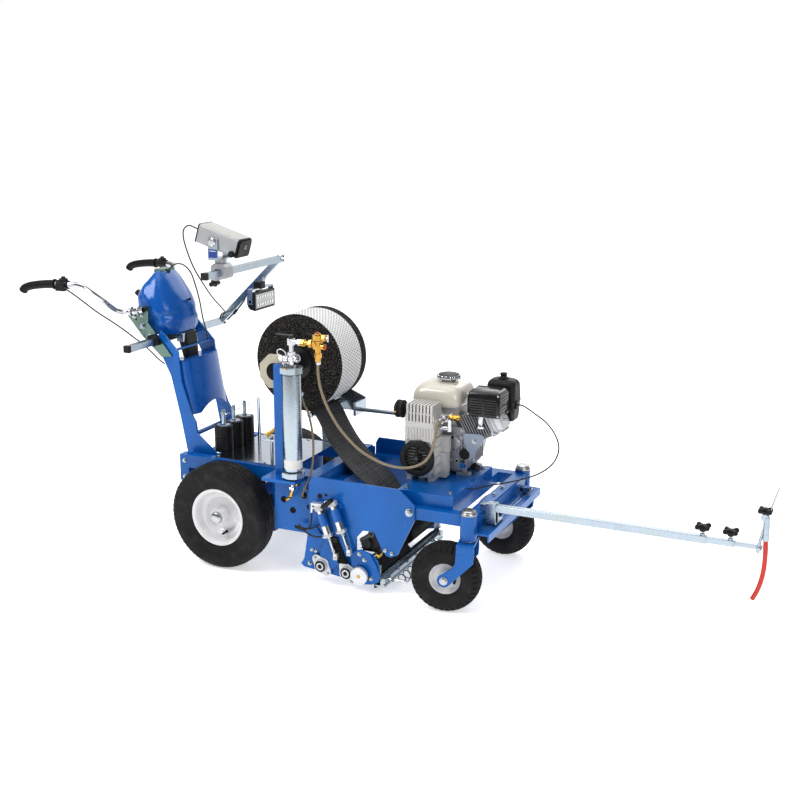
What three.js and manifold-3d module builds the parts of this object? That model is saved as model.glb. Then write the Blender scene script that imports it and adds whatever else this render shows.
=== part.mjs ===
// Walk-behind pavement marking machine: a wheeled frame that carries a roll of marking tape,
// a primer cylinder, a small engine with an air compressor, a tape-laying head and a pointer arm.
// Millimetres. +X is the way it travels, +Z is up, and the near side is -Y.

import * as THREE from 'three';
import { mergeVertices } from 'three/addons/utils/BufferGeometryUtils.js';
import Module from 'manifold-3d';

const wasm = await Module();
wasm.setup();

// ---------------------------------------------------------------- driving dimensions

// The sizes below are taken from the rear axle's middle on the ground; this moves the
// middle of the machine's footprint to the origin.
const ORIGIN_X = 586;
const ORIGIN_Y = 21.5;

const GAP = 0.3;

const REAR_RADIUS = 205;
const REAR_TRACK = 272;
const REAR_AXLE_RADIUS = 13;

const CASTER_RADIUS = 127;
const CASTER_TRAIL = 75;
const CASTER_X = 1013;
const CASTER_TRACK = 290;

const SIDE_PLATE_INNER = 282;
const SIDE_PLATE_OUTER = 290;
const RAIL_BOTTOM = 309;
const RAIL_TOP = 352;
const REAR_RAIL_BOTTOM = 345;
const REAR_RAIL_TOP = 396;
const REAR_RAIL_INNER = 160;
const REAR_RAIL_OUTER = 200;
const TRAY_TOP = 400;
const DECK_TOP = 399;

const ROLL_RADIUS = 184.5;
const ROLL_X = 218;
const ROLL_Z = 779;
const ROLL_NEAR = -50;
const ROLL_FAR = 160;
const SPINDLE_RADIUS = 31.7;

const PRIMER_X = 320;
const PRIMER_Y = -288;
const PRIMER_RADIUS = 34;

const CRANK_X = 750;
const CRANK_Z = 488;

const ARM_Y = -195;
const ARM_Z = 365;
const ARM_WIDTH = 25;

const BAR_WIDTH = 25;
const LOW_BAR_X = -370;
const LOW_BAR_Z = 828;
const HIGH_BAR_X = -78;
const HIGH_BAR_Z = 1111;
const RISER_Y = 333;

const LASER_X = -65;
const LASER_Y = -105;
const LASER_Z = 1235;
const LASER_PITCH = THREE.MathUtils.degToRad(17);

const LAMP_X = -168;
const LAMP_Y = 324;
const LAMP_HALF = 80;
const LAMP_CHEEK = LAMP_HALF + 6;
const LAMP_Z = 938;

const COLUMN_INNER = 125;
const COLUMN_OUTER = 133;
const HANDLE_PLATE_INNER = 133.6;
const HANDLE_PLATE_OUTER = 139.6;
const HANDLE_RADIUS = 12.5;

const BEAM_X = [649, 689];
const BEAM_Z = [27, 60];
const COIL_X = 736;

const BLUE = '#1450b4';
const STEEL = '#b9bec4';
const BLACK = '#1a1a1c';
const CREAM = '#e4e2d6';

// ---------------------------------------------------------------- solids

// A closed three.js geometry as a solid, with its faces pointing out.
function solid(geometry) {
  geometry.deleteAttribute('normal');
  geometry.deleteAttribute('uv');
  const merged = mergeVertices(geometry, 1e-3);
  const place = merged.attributes.position.array;
  const corners = [];
  let volume = 0;
  const a = new THREE.Vector3();
  const b = new THREE.Vector3();
  const c = new THREE.Vector3();
  for (let i = 0; i < merged.index.count; i += 3) {
    const [p, q, r] = [0, 1, 2].map((k) => merged.index.getX(i + k));
    if (p === q || q === r || r === p) continue;
    corners.push([p, q, r]);
    a.fromArray(place, 3 * p);
    b.fromArray(place, 3 * q);
    c.fromArray(place, 3 * r);
    volume += a.dot(b.cross(c));
  }
  if (volume < 0) corners.forEach((corner) => corner.reverse());
  const triVerts = Uint32Array.from(corners.flat());
  return new wasm.Manifold(new wasm.Mesh({
    numProp: 3,
    vertProperties: Float32Array.from(place),
    triVerts,
  }));
}

function join(...solids) {
  return solids.reduce((whole, next) => whole.add(next));
}

function box(x0, x1, y0, y1, z0, z1) {
  const geometry = new THREE.BoxGeometry(x1 - x0, y1 - y0, z1 - z0);
  geometry.translate((x0 + x1) / 2, (y0 + y1) / 2, (z0 + z1) / 2);
  return solid(geometry);
}

// A round bar between two points.
function rod(from, to, radius, sides = 16) {
  const start = new THREE.Vector3(...from);
  const end = new THREE.Vector3(...to);
  const along = end.clone().sub(start);
  const geometry = new THREE.CylinderGeometry(radius, radius, along.length(), sides);
  const up = new THREE.Vector3(0, 1, 0);
  geometry.applyQuaternion(new THREE.Quaternion().setFromUnitVectors(up, along.normalize()));
  const middle = start.add(end).multiplyScalar(0.5);
  geometry.translate(middle.x, middle.y, middle.z);
  return solid(geometry);
}

function extruded(points, depth) {
  const shape = new THREE.Shape(points.map(([u, v]) => new THREE.Vector2(u, v)));
  return new THREE.ExtrudeGeometry(shape, { depth, bevelEnabled: false });
}

// Prisms of an outline: (x, z) along Y, (y, z) along X and (x, y) along Z.
function prismY(points, y0, y1) {
  const geometry = extruded(points, y1 - y0);
  geometry.rotateX(Math.PI / 2);
  geometry.translate(0, y1, 0);
  return solid(geometry);
}

function prismZ(points, z0, z1) {
  const geometry = extruded(points, z1 - z0);
  geometry.translate(0, 0, z0);
  return solid(geometry);
}

// Points of an arc, in degrees, from one angle to another.
function arc(x, z, radius, from, to, steps) {
  const points = [];
  for (let i = 0; i <= steps; i += 1) {
    const angle = THREE.MathUtils.degToRad(from + ((to - from) * i) / steps);
    points.push([x + radius * Math.cos(angle), z + radius * Math.sin(angle)]);
  }
  return points;
}

// A body turned about the Y axis from (radius, y) points. Its flats, not its corners, are
// at the stated radius, and one flat faces straight down.
function turnedY(profile, segments) {
  const grow = 1 / Math.cos(Math.PI / segments);
  const points = profile.map(([r, y]) => new THREE.Vector2(r * grow, y));
  const geometry = new THREE.LatheGeometry(points, segments);
  geometry.rotateY(Math.PI / segments);
  return solid(geometry);
}

function turnedZ(profile, segments) {
  const geometry = new THREE.LatheGeometry(profile.map(([r, z]) => new THREE.Vector2(r, z)), segments);
  geometry.rotateX(Math.PI / 2);
  return solid(geometry);
}

// A round tube along a smooth curve through points.
function tube(points, radius, sides, steps) {
  const section = new THREE.Shape();
  for (let i = 0; i < sides; i += 1) {
    const angle = (2 * Math.PI * i) / sides;
    const method = i === 0 ? 'moveTo' : 'lineTo';
    section[method](radius * Math.cos(angle), radius * Math.sin(angle));
  }
  section.closePath();
  const path = new THREE.CatmullRomCurve3(points.map((p) => new THREE.Vector3(...p)));
  return solid(new THREE.ExtrudeGeometry(section, { steps, bevelEnabled: false, extrudePath: path }));
}

// A closed (radius, y) profile from its half on one side of y = 0.
function closedMirror(half) {
  const other = half.slice().reverse().map(([r, y]) => [r, -y]);
  return [...half, ...other, half[0]];
}

const machine = new THREE.Group();
machine.position.set(-ORIGIN_X, -ORIGIN_Y, 0);

// Adds a named mesh; place is where its own origin stands, turn its angle about Z.
function part(name, shape, color, roughness, metalness, place = [0, 0, 0], turn = 0) {
  const made = shape.getMesh();
  const geometry = new THREE.BufferGeometry();
  geometry.setAttribute('position', new THREE.BufferAttribute(made.vertProperties, 3));
  geometry.setIndex(new THREE.BufferAttribute(made.triVerts, 1));
  geometry.computeVertexNormals();
  const mesh = new THREE.Mesh(geometry, new THREE.MeshStandardMaterial({ color, roughness, metalness }));
  mesh.name = name;
  mesh.position.set(...place);
  mesh.rotation.z = turn;
  machine.add(mesh);
}

const painted = (name, shape, place, turn) => part(name, shape, BLUE, 0.3, 0.2, place, turn);
const plated = (name, shape, place, turn) => part(name, shape, STEEL, 0.35, 0.9, place, turn);
const black = (name, shape, place, turn) => part(name, shape, BLACK, 0.6, 0.0, place, turn);

// ---------------------------------------------------------------- rear frame

function rearFrame() {
  const rail = (y0, y1) => box(-240, 391.7, y0, y1, REAR_RAIL_BOTTOM, REAR_RAIL_TOP);
  const rearEnd = (y0, y1) => box(-240, -200, y0, y1, 290, REAR_RAIL_TOP);
  const axlePlate = (y0, y1) => box(-45, 45, y0, y1, 178, REAR_RAIL_TOP - 20);
  const skirt = (y0, y1) => box(225, 391.7, y0, y1, 180, 384.5);
  const stub = REAR_TRACK + 47;
  return join(
    rail(-REAR_RAIL_OUTER, -REAR_RAIL_INNER),
    rail(REAR_RAIL_INNER, REAR_RAIL_OUTER),
    rearEnd(-REAR_RAIL_OUTER, -REAR_RAIL_INNER),
    rearEnd(REAR_RAIL_INNER, REAR_RAIL_OUTER),
    box(-240, -200, -REAR_RAIL_OUTER, REAR_RAIL_OUTER, 290, 324.7),
    box(341, 391.7, -240, 240, REAR_RAIL_BOTTOM, REAR_RAIL_TOP),
    axlePlate(-172, -164),
    axlePlate(164, 172),
    box(-18, 18, -204, 204, REAR_RADIUS - 18, REAR_RADIUS + 18),
    rod([0, -stub, REAR_RADIUS], [0, stub, REAR_RADIUS], REAR_AXLE_RADIUS, 20),
    box(176, 184, -200, 200, 140, 350),
    skirt(-262, -256),
    skirt(256, 262),
    box(205, 345, -325, -160, 384, REAR_RAIL_TOP),
    box(341, 391.7, -262, 262, 330, 384.5),
    box(228, 262, -262, -236, 384, 813),
  );
}

function floorTray() {
  const low = REAR_RAIL_TOP + GAP;
  return join(
    box(-90, 255, -185, 185, low, TRAY_TOP),
    box(-165, -89, -118, 118, low, TRAY_TOP),
    rod([5, 0, TRAY_TOP - 1], [5, 0, 605], 6, 12),
  );
}

painted('rear_frame', rearFrame());
plated('floor_tray', floorTray());

// ---------------------------------------------------------------- front frame

function frontFrame() {
  const rail = (y0, y1) => box(392, 1000, y0, y1, RAIL_BOTTOM, RAIL_TOP);
  const swivelTube = (y) => rod([CASTER_X, y, 270], [CASTER_X, y, 360], 30, 18);
  const swivelBore = (y) => rod([CASTER_X, y, 200], [CASTER_X, y, 400], 16.8, 14);
  const knobStem = (y, x) => rod([x, y, 299], [x, y, 312], 5, 10).add(rod([x, y, 311], [x, y, 330], 17, 12));
  return join(
    rail(-281.7, -241),
    rail(241, 281.7),
    box(392, 428, -270, 270, RAIL_BOTTOM, RAIL_TOP - 5),
    box(725, 760, -245, 245, RAIL_BOTTOM, RAIL_TOP),
    box(896, 930, -245, 245, RAIL_BOTTOM, RAIL_TOP),
    box(990, 1033, -262, 262, RAIL_BOTTOM, RAIL_TOP),
    swivelTube(-CASTER_TRACK),
    swivelTube(CASTER_TRACK),
    box(1030, 1037, -250, 250, 293, RAIL_TOP - 6),
    box(1030, 1092, -255, 255, 293, 300),
    box(1046, 1092, -300, 275, 293, 300),
    box(1087, 1092, -300, 275, 272, 300),
    box(1055, 1072, -245, 245, 299, 303),
    knobStem(178, 1064),
  ).subtract(swivelBore(-CASTER_TRACK)).subtract(swivelBore(CASTER_TRACK));
}

function engineDeck() {
  const plate = box(721, 936, -245, 155, RAIL_TOP + GAP, DECK_TOP);
  return plate.subtract(box(725, 932, -241, 151, 300, DECK_TOP - 4));
}

function sidePlate(y0, y1) {
  const outline = [
    [397, 415], [749, 413], [808, 362], [808, 306], [742, 164],
    [715, 152], [697, 156], [684, 172], [649, 239], [604, 238],
    [577, 205], [577, 146], [604, 157], [640, 150], [662, 130],
    [673, 67], [540, 39], [360, 58], [347, 68], [361, 92], [382, 223],
    [385, 392],
  ];
  return prismY(outline, y0, y1);
}

painted('front_frame', frontFrame());
painted('engine_deck', engineDeck());
painted('near_side_plate', sidePlate(-SIDE_PLATE_OUTER, -SIDE_PLATE_INNER));
painted('far_side_plate', sidePlate(SIDE_PLATE_INNER, SIDE_PLATE_OUTER));

// ---------------------------------------------------------------- wheels

// Profiles are (radius, distance along the axle); the rims' outer face is on their + side.
const REAR_TYRE_HALF = [
  [103.2, 36], [118, 40], [150, 59], [190, 54], [REAR_RADIUS, 34],
];
const REAR_RIM = [
  [0, 62], [19, 62], [30, 44], [30, 16], [84, 22], [96, 46], [113, 46], [102.6, 39], [102.6, -39],
  [113, -46], [97, -46], [97, 14], [30, 8], [30, -30], [13.6, -30], [13.6, 49], [0, 49],
];
const CASTER_HALF = [
  [8.4, -45.7], [20, -45.7], [22, -12], [48, -12], [62, -34], [84, -42], [112, -39],
  [CASTER_RADIUS, -20],
];

function rearWheel(side, name) {
  const place = [0, side * REAR_TRACK, REAR_RADIUS];
  const rim = REAR_RIM.map(([r, y]) => [r, side * y]);
  black(`${name}_rear_tyre`, turnedY(closedMirror(REAR_TYRE_HALF), 24), place);
  part(`${name}_rear_rim`, turnedY(rim, 24), CREAM, 0.3, 0.0, place);
}

// The fork stands on its own swivel axis at x = 0, y = 0, with its wheel behind it.
function casterFork() {
  const legOutline = [
    [-32, 262], [30, 262], [30, 200],
    ...arc(-CASTER_TRAIL, CASTER_RADIUS, 24, -45, -225, 6),
    [-34, 196],
  ];
  const axle = (y0, y1, radius, sides) => rod(
    [-CASTER_TRAIL, y0, CASTER_RADIUS], [-CASTER_TRAIL, y1, CASTER_RADIUS], radius, sides,
  );
  return join(
    box(-32, 30, -54, 54, 258, 266),
    prismY(legOutline, -54, -46),
    prismY(legOutline, 46, 54),
    axle(-60, 60, 8, 12),
    axle(-63, -53, 13, 6),
    axle(53, 63, 13, 6),
    rod([0, 0, 265], [0, 0, 269.7], 26, 16),
    rod([0, 0, 269], [0, 0, 372], 16, 14),
    turnedZ([[0, 360.3], [28, 360.3], [28, 366], [20, 376], [0, 380]], 16),
  );
}

function caster(side, name, degrees) {
  const turn = THREE.MathUtils.degToRad(degrees);
  const place = [CASTER_X, side * CASTER_TRACK, 0];
  const wheel = new THREE.Vector3(-CASTER_TRAIL, 0, 0);
  wheel.applyAxisAngle(new THREE.Vector3(0, 0, 1), turn);
  const hub = [CASTER_X + wheel.x, side * CASTER_TRACK + wheel.y, CASTER_RADIUS];
  painted(`${name}_caster_fork`, casterFork(), place, turn);
  black(`${name}_caster_wheel`, turnedY(closedMirror(CASTER_HALF), 24), hub, turn);
}

rearWheel(-1, 'near');
rearWheel(1, 'far');
caster(-1, 'near', 10);
caster(1, 'far', -5);

// ---------------------------------------------------------------- column and hood

function columnFrame() {
  const rail = [
    [-365, 845], [-350, 765], [-312, 690], [-274, 527], [-236, 325.3], [-150, 325.3], [-94, 379],
    [-199, 466], [-205, 512], [-220, 537], [-264, 668], [-276, 790], [-352, 870],
  ];
  const tie = (x, z) => rod([x, -130, z], [x, 130, z], 9, 12);
  const slot = BAR_WIDTH / 2 + GAP;
  return join(
    prismY(rail, -COLUMN_OUTER, -COLUMN_INNER),
    prismY(rail, COLUMN_INNER, COLUMN_OUTER),
    tie(-320, 725),
    tie(-276, 600),
    tie(-236, 450),
    box(-300, -286, -128, 128, 790, 796),
  ).subtract(box(
    LOW_BAR_X - slot, LOW_BAR_X + slot, -200, 200, LOW_BAR_Z - slot, LOW_BAR_Z + slot,
  ));
}

// The curved cover in front of the column: a bowed sheet with short side walls and a top.
function columnCover() {
  const bow = (inset) => {
    const wide = 120 - inset;
    const points = [[-24, -wide], [0 - inset, -wide]];
    for (let i = 1; i < 12; i += 1) {
      const y = -wide + (2 * wide * i) / 12;
      points.push([(34 - inset) * Math.cos((Math.PI * y) / (2 * wide)) ** 0.6, y]);
    }
    points.push([0 - inset, wide], [-24, wide]);
    return points;
  };
  const height = 220;
  const hollow = bow(4).map(([x, y]) => [x < -4 ? -60 : x, y]);
  const shell = join(prismZ(bow(0), 0, height), box(-84, 1, -120, 120, height - 5, height))
    .subtract(prismZ(hollow, -1, height - 5));
  const arch = rod([-100, 0, -95], [100, 0, -95], 130, 32);
  return shell.subtract(arch).rotate([0, -10, 0]).translate([-223, 0, 538]);
}

// The moulded hood over the controls, open underneath.
function cowl() {
  const profile = (inset) => [
    [-310 - inset, 835 - inset], [-307 - inset, 900], [-328 - inset, 970 - inset],
    [-362 - inset, 1020 - inset], [-393 - inset, 1072 - inset], [-412, 1094 - 2 * inset],
    [-433 + inset, 1075 - inset], [-450 + inset, 1030], [-475 + inset, 998], [-485 + inset, 960],
    [-472 + inset, 862 - inset], [-345, 846 - inset],
  ];
  const plan = (inset) => [
    [-490 + inset, -117 + inset], [-440, -117 + inset], [-370, -106 + inset], [-318, -80 + inset],
    [-305 - inset, -50 + inset], [-305 - inset, 50 - inset], [-318, 80 - inset],
    [-370, 106 - inset], [-440, 117 - inset], [-490 + inset, 117 - inset],
  ];
  const outer = prismY(profile(0), -118, 118).intersect(prismZ(plan(0), 800, 1100));
  const inner = prismY(profile(5), -112, 112).intersect(prismZ(plan(5), 780, 1090));
  return outer.subtract(inner.subtract(box(-330, -300, -120, 120, 780, 834)));
}

function handlePlate(side) {
  const outline = [
    [-506, 923], [-402, 966], [-406, 896], [-300, 770], [-348, 763], [-438, 843],
  ];
  const slot = BAR_WIDTH / 2 + GAP;
  const y0 = side < 0 ? -HANDLE_PLATE_OUTER : HANDLE_PLATE_INNER;
  const y1 = side < 0 ? -HANDLE_PLATE_INNER : HANDLE_PLATE_OUTER;
  return prismY(outline, y0, y1).subtract(box(
    LOW_BAR_X - slot, LOW_BAR_X + slot, y0 - 5, y1 + 5, LOW_BAR_Z - slot, LOW_BAR_Z + slot,
  ));
}

painted('column_frame', columnFrame());
painted('column_cover', columnCover());
painted('cowl', cowl());
plated('near_handle_plate', handlePlate(-1));
plated('far_handle_plate', handlePlate(1));

// ---------------------------------------------------------------- handlebars

const HANDLE_PATH = [
  [-415, 153.4, 948], [-450, 153.4, 941.5], [-485, 153.4, 935], [-517, 190, 944], [-541, 260, 1002],
  [-589, 310, 1053], [-640, 326, 1057], [-683, 330, 1057], [-857, 340, 1035],
];
const BUTTON_PLACE = [-655, 325, 1075];

function handlebar(side) {
  const path = HANDLE_PATH.map(([x, y, z]) => [x, side * y, z]);
  const [x, y, z] = BUTTON_PLACE;
  const grip = rod([-690, side * 330.4, 1056.1], [-857, side * 340, 1035], 17, 12);
  const housing = rod([x, side * y, 1057], [x, side * y, z + 6], 17, 12);
  const bore = rod([x, side * y, z - 6], [x, side * y, z + 10], 8.5, 10);
  return join(tube(path, HANDLE_RADIUS, 10, 26), grip, housing).subtract(bore);
}

for (const [side, name] of [[-1, 'near'], [1, 'far']]) {
  const [x, y, z] = BUTTON_PLACE;
  plated(`${name}_handlebar`, handlebar(side));
  black(`${name}_button`, rod([0, 0, 0], [0, 0, 14], 8, 10), [x, side * y, z]);
}

// ---------------------------------------------------------------- light bar, laser and lamp

function lightBar() {
  const half = BAR_WIDTH / 2;
  const rise = half * Math.SQRT2;
  const riser = [
    [LOW_BAR_X, LOW_BAR_Z - rise], [HIGH_BAR_X + rise, HIGH_BAR_Z],
    [HIGH_BAR_X, HIGH_BAR_Z + rise], [LOW_BAR_X - rise, LOW_BAR_Z],
  ];
  const lampCheek = (y0, y1) => box(-180, -156, y0, y1, LAMP_Z - 12, 989);
  const laserCheek = (y0, y1) => box(-105, -62, y0, y1, 1163, 1245);
  return join(
    box(LOW_BAR_X - half, LOW_BAR_X + half, -332, 345, LOW_BAR_Z - half, LOW_BAR_Z + half),
    prismY(riser, RISER_Y - half, RISER_Y + half),
    box(HIGH_BAR_X - half, HIGH_BAR_X + half, -230, 345, HIGH_BAR_Z - half, HIGH_BAR_Z + half),
    box(-180, -156, RISER_Y - 12, RISER_Y + 12, 986, 1020),
    box(-180, -156, LAMP_Y - LAMP_CHEEK, LAMP_Y + LAMP_CHEEK, 985, 989),
    lampCheek(LAMP_Y - LAMP_CHEEK, LAMP_Y - LAMP_HALF - 2.5),
    lampCheek(LAMP_Y + LAMP_HALF + 2.5, LAMP_Y + LAMP_CHEEK),
    box(HIGH_BAR_X - 19, HIGH_BAR_X + 19, LASER_Y - 22, LASER_Y + 22, 1092, 1130),
    box(-100, -66, LASER_Y - 8, LASER_Y + 8, 1128, 1166),
    box(-105, -62, LASER_Y - 51.5, LASER_Y + 51.5, 1163, 1168),
    laserCheek(LASER_Y - 51.5, LASER_Y - 48),
    laserCheek(LASER_Y + 48, LASER_Y + 51.5),
  );
}

function laserBox() {
  const turned = (along, up) => [
    LASER_X + along * Math.cos(LASER_PITCH) + up * Math.sin(LASER_PITCH),
    LASER_Z - along * Math.sin(LASER_PITCH) + up * Math.cos(LASER_PITCH),
  ];
  const outline = [
    turned(-95, -36), turned(95, -36), turned(95, 26), turned(88, 36), turned(-95, 36),
  ];
  return prismY(outline, LASER_Y - 47.5, LASER_Y + 47.5);
}

function workLight() {
  const outline = [
    [-190, 908], [-182, 900], [-152, 900], [-147, 906], [-147, 970], [-152, 975], [-190, 966],
  ];
  return prismY(outline, LAMP_Y - LAMP_HALF, LAMP_Y + LAMP_HALF);
}

plated('light_bar', lightBar());
plated('laser_box', laserBox());
black('work_light', workLight());

// ---------------------------------------------------------------- tape roll, spindle and web

function tapeRoll() {
  const bore = 38;
  return turnedY([
    [bore, ROLL_NEAR], [ROLL_RADIUS, ROLL_NEAR], [ROLL_RADIUS, ROLL_FAR], [bore, ROLL_FAR], [bore, ROLL_NEAR],
  ], 40);
}

function rollSpindle() {
  const core = 37.5;
  return turnedY([
    [24, -234], [SPINDLE_RADIUS, -234], [SPINDLE_RADIUS, ROLL_NEAR - 12], [60, ROLL_NEAR - 12],
    [60, ROLL_NEAR - GAP], [core, ROLL_NEAR - GAP], [core, ROLL_FAR], [SPINDLE_RADIUS, ROLL_FAR],
    [SPINDLE_RADIUS, 214], [24, 214], [24, -234],
  ], 20);
}

function nearRollBlock() {
  const corner = 62.5 / Math.cos(Math.PI / 8);
  const outline = arc(ROLL_X, ROLL_Z, corner, 22.5, 337.5, 7);
  return prismY(outline, -235.7, -217)
    .subtract(rod([ROLL_X, -240, ROLL_Z], [ROLL_X, -210, ROLL_Z], 33, 32));
}

function farRollPost() {
  const outline = [
    [190, 396.3], [236, 396.3], [240, 545], [384, 545], [384, 606], [300, 640], [262, 800], [240, 828],
    [196, 828], [174, 800], [174, 640],
  ];
  const plate = prismY(outline, 188, 196)
    .subtract(rod([ROLL_X, 180, ROLL_Z], [ROLL_X, 200, ROLL_Z], 33, 32));
  return join(
    plate,
    box(374, 384, 100, 190, 548, 600),
    rod([262, -52, 574], [262, 190, 574], 11, 16),
    rod([382, 120, 572], [699.4, 120, 575], 8, 12),
  );
}

function tapeWeb() {
  const half = 1.5;
  const line = [
    [212, 590.5], [258, 589.5], [280, 582], [297, 560], [325, 510], [373, 440], [444, 371],
    [512, 318], [556, 262], [574, 205],
  ];
  const curve = new THREE.SplineCurve(line.map(([x, z]) => new THREE.Vector2(x, z)));
  const steps = 28;
  const above = [];
  const below = [];
  for (let i = 0; i <= steps; i += 1) {
    const place = curve.getPoint(i / steps);
    const across = curve.getTangent(i / steps);
    above.push([place.x + half * across.y, place.y - half * across.x]);
    below.push([place.x - half * across.y, place.y + half * across.x]);
  }
  return prismY([...above, ...below.reverse()], ROLL_NEAR + 2, ROLL_FAR - 2);
}

black('tape_roll', tapeRoll(), [ROLL_X, 0, ROLL_Z]);
plated('roll_spindle', rollSpindle(), [ROLL_X, 0, ROLL_Z]);
part('near_roll_block', nearRollBlock(), CREAM, 0.6, 0.0);
plated('far_roll_post', farRollPost());
black('tape_web', tapeWeb());

// ---------------------------------------------------------------- primer cylinder

function primerCylinder() {
  const [x, y] = [PRIMER_X, PRIMER_Y];
  const hex = (z0, z1) => rod([x, y, z0], [x, y, z1], PRIMER_RADIUS + 10, 6);
  return join(
    rod([x, y, 396.3], [x, y, 405], 30, 12),
    hex(403, 434),
    rod([x, y, 430], [x, y, 792], PRIMER_RADIUS, 20),
    hex(788, 820),
    rod([x, y, 818], [x, y, 912], 11, 12),
    rod([x, y, 912], [430, y, 912], 10, 12),
    rod([428, y, 948], [428, y, 836], 13, 12),
    rod([406, y, 912], [468, y, 912], 18, 12),
    rod([x - 30, y, 818], [x - 30, y, 850], 7, 10),
    rod([x - 48, y, 846], [x + 2, y, 846], 9, 10),
  );
}

function primerLever() {
  return join(
    rod([0, 0, 0], [0, 0, 12], 9, 12),
    box(-62, 4, -6, 6, 8, 12),
  );
}

plated('primer_cylinder', primerCylinder());
black('primer_lever', primerLever(), [PRIMER_X, PRIMER_Y, 923.3]);

// ---------------------------------------------------------------- ballast weights

function weight(y) {
  const z = TRAY_TOP + GAP;
  return turnedZ([
    [0, z], [37, z], [37, z + 48], [35, z + 49.5], [37, z + 51], [37, z + 100], [5, z + 100],
    [5, z + 162], [0, z + 162],
  ], 18).translate([-110, y, 0]);
}

const WEIGHTS = [['near', -110 + 31], ['middle', -3], ['far', 110 - 31]];
for (const [name, y] of WEIGHTS) black(`${name}_weight`, weight(y));

// ---------------------------------------------------------------- engine and compressor

function engineBlock() {
  const fins = [];
  for (let z = 530; z < 632; z += 12) fins.push(box(902, 984, -2, 89, z, z + 4));
  return join(
    box(790, 935, 4, 138, DECK_TOP + GAP, 412),
    box(700, 900, 6, 150, 408, 590),
    rod([CRANK_X, -36, CRANK_Z], [CRANK_X, 10, CRANK_Z], 70, 24),
    box(880, 980, 2, 85, 520, 638),
    ...fins,
    box(978, 1026, -8, 88, 547, 638),
    box(720, 850, 10, 150, 588, 654.5),
    box(900, 950, 10, 78, 470, 525),
  ).subtract(rod([CRANK_X, -60, CRANK_Z], [CRANK_X, 60, CRANK_Z], 10.4, 16));
}

function fuelTank() {
  const outline = [[678, -20], [696, -39], [852, -39], [870, -20], [870, 140], [852, 160], [696, 160], [678, 140]];
  const tank = prismZ(outline, 655, 738).add(box(694, 854, -26, 146, 737, 745));
  const hollow = box(690, 858, -26, 146, 661, 732);
  const filler = rod([791, 60, 740], [791, 60, 752], 24, 20);
  const mouth = rod([791, 60, 700], [791, 60, 760], 16.4, 20);
  return tank.add(filler).subtract(hollow).subtract(mouth);
}

function fuelCap() {
  return turnedZ([[0, -22], [16, -22], [16, 0], [44, 0], [46, 3], [46, 11], [40, 15], [0, 17]], 24);
}

function mufflerGuard() {
  const outline = [[898, 640], [1024, 640], [1024, 722], [1010, 735], [912, 735], [898, 722]];
  return prismY(outline, -30, 80);
}

function airCleaner() {
  const outline = [[922, 91], [1038, 91], [1038, 166], [1024, 180], [936, 180], [922, 166]];
  return join(
    prismZ(outline, 595, 748),
    box(930, 1030, 98, 172, 747, 755),
    rod([980, 134, 754], [980, 134, 775], 12, 12),
  );
}

function compressorHousing() {
  const outline = [[696, 405], [812, 405], [812, 655], [780, 688], [716, 690], [696, 668]];
  const body = prismY(outline, -130, -41);
  const shaft = rod([CRANK_X, -100, CRANK_Z], [CRANK_X, -30, CRANK_Z], 10.4, 16);
  const slots = [];
  for (let i = 0; i < 5; i += 1) slots.push(box(724, 784, -140, -124, 572 + 18 * i, 582 + 18 * i));
  const guard = rod([CRANK_X, -148, CRANK_Z], [CRANK_X, -129, CRANK_Z], 66, 20);
  const slats = [];
  for (let z = -45; z <= 45; z += 18) {
    const half = Math.sqrt(58 ** 2 - z ** 2);
    slats.push(box(CRANK_X - half, CRANK_X + half, -160, -144, CRANK_Z + z - 3, CRANK_Z + z + 3));
  }
  const whole = join(
    body,
    guard,
    box(704, 804, -120, -50, DECK_TOP + GAP, 406),
    rod([665, -90, 655], [700, -90, 655], 12, 14),
    rod([645, -90, 655], [686, -90, 655], 33, 24),
    rod([808, -90, 600], [860, -90, 600], 11, 12),
    rod([856, -190, 648], [856, -80, 648], 10, 12),
    rod([856, -90, 594], [856, -90, 655], 10, 12),
  );
  const hollow = rod([CRANK_X, -144, CRANK_Z], [CRANK_X, -92, CRANK_Z], 61, 20).add(shaft);
  return slats.concat(slots).reduce((left, cut) => left.subtract(cut), whole.subtract(hollow));
}

function compressorFan() {
  const blades = [];
  for (let i = 0; i < 8; i += 1) {
    blades.push(box(12, 56, -118, -104, -3, 3).rotate([0, 45 * i, 0]));
  }
  return join(
    rod([0, -122, 0], [0, 40, 0], 10, 16),
    rod([0, -124, 0], [0, -98, 0], 18, 16),
    rod([0, -104, 0], [0, -98, 0], 56, 24),
    ...blades,
  );
}

part('engine_block', engineBlock(), '#8f9296', 0.5, 0.6);
part('fuel_tank', fuelTank(), CREAM, 0.35, 0.0);
plated('fuel_cap', fuelCap(), [791, 60, 752.3]);
black('muffler_guard', mufflerGuard());
black('air_cleaner', airCleaner());
part('compressor_housing', compressorHousing(), '#b4b7ba', 0.5, 0.6);
black('compressor_fan', compressorFan(), [CRANK_X, 0, CRANK_Z]);

// ---------------------------------------------------------------- laying head

function layingBeam() {
  const [x0, x1] = BEAM_X;
  const [z0, z1] = BEAM_Z;
  const tab = (y0, y1) => box(x0, 671, y0, y1, z0 + 5, 110);
  const fitting = (y0, y1) => box(x1 - 2, COIL_X + 22, y0, y1, 40, 62);
  return join(
    box(x0, x1, -281.6, 281.6, z0, z1),
    tab(-281.6, -274),
    tab(274, 281.6),
    box(x0 - 9, x0 + 1, -270, 270, 14, z1 - 6),
    fitting(-258, -244.3),
    fitting(180.3, 194),
  );
}

const STROKE_DIRECTION = new THREE.Vector3(0.346, 0, -0.938).normalize();
const HEAD_Y = -312;

function alongStroke(top, distance) {
  const [x, z] = top;
  return [x + STROKE_DIRECTION.x * distance, HEAD_Y, z + STROKE_DIRECTION.z * distance];
}

const CUTTER_TOP = [434, 319];
const PRESS_TOP = [489, 344];
const BARREL_LENGTH = 124;

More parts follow.
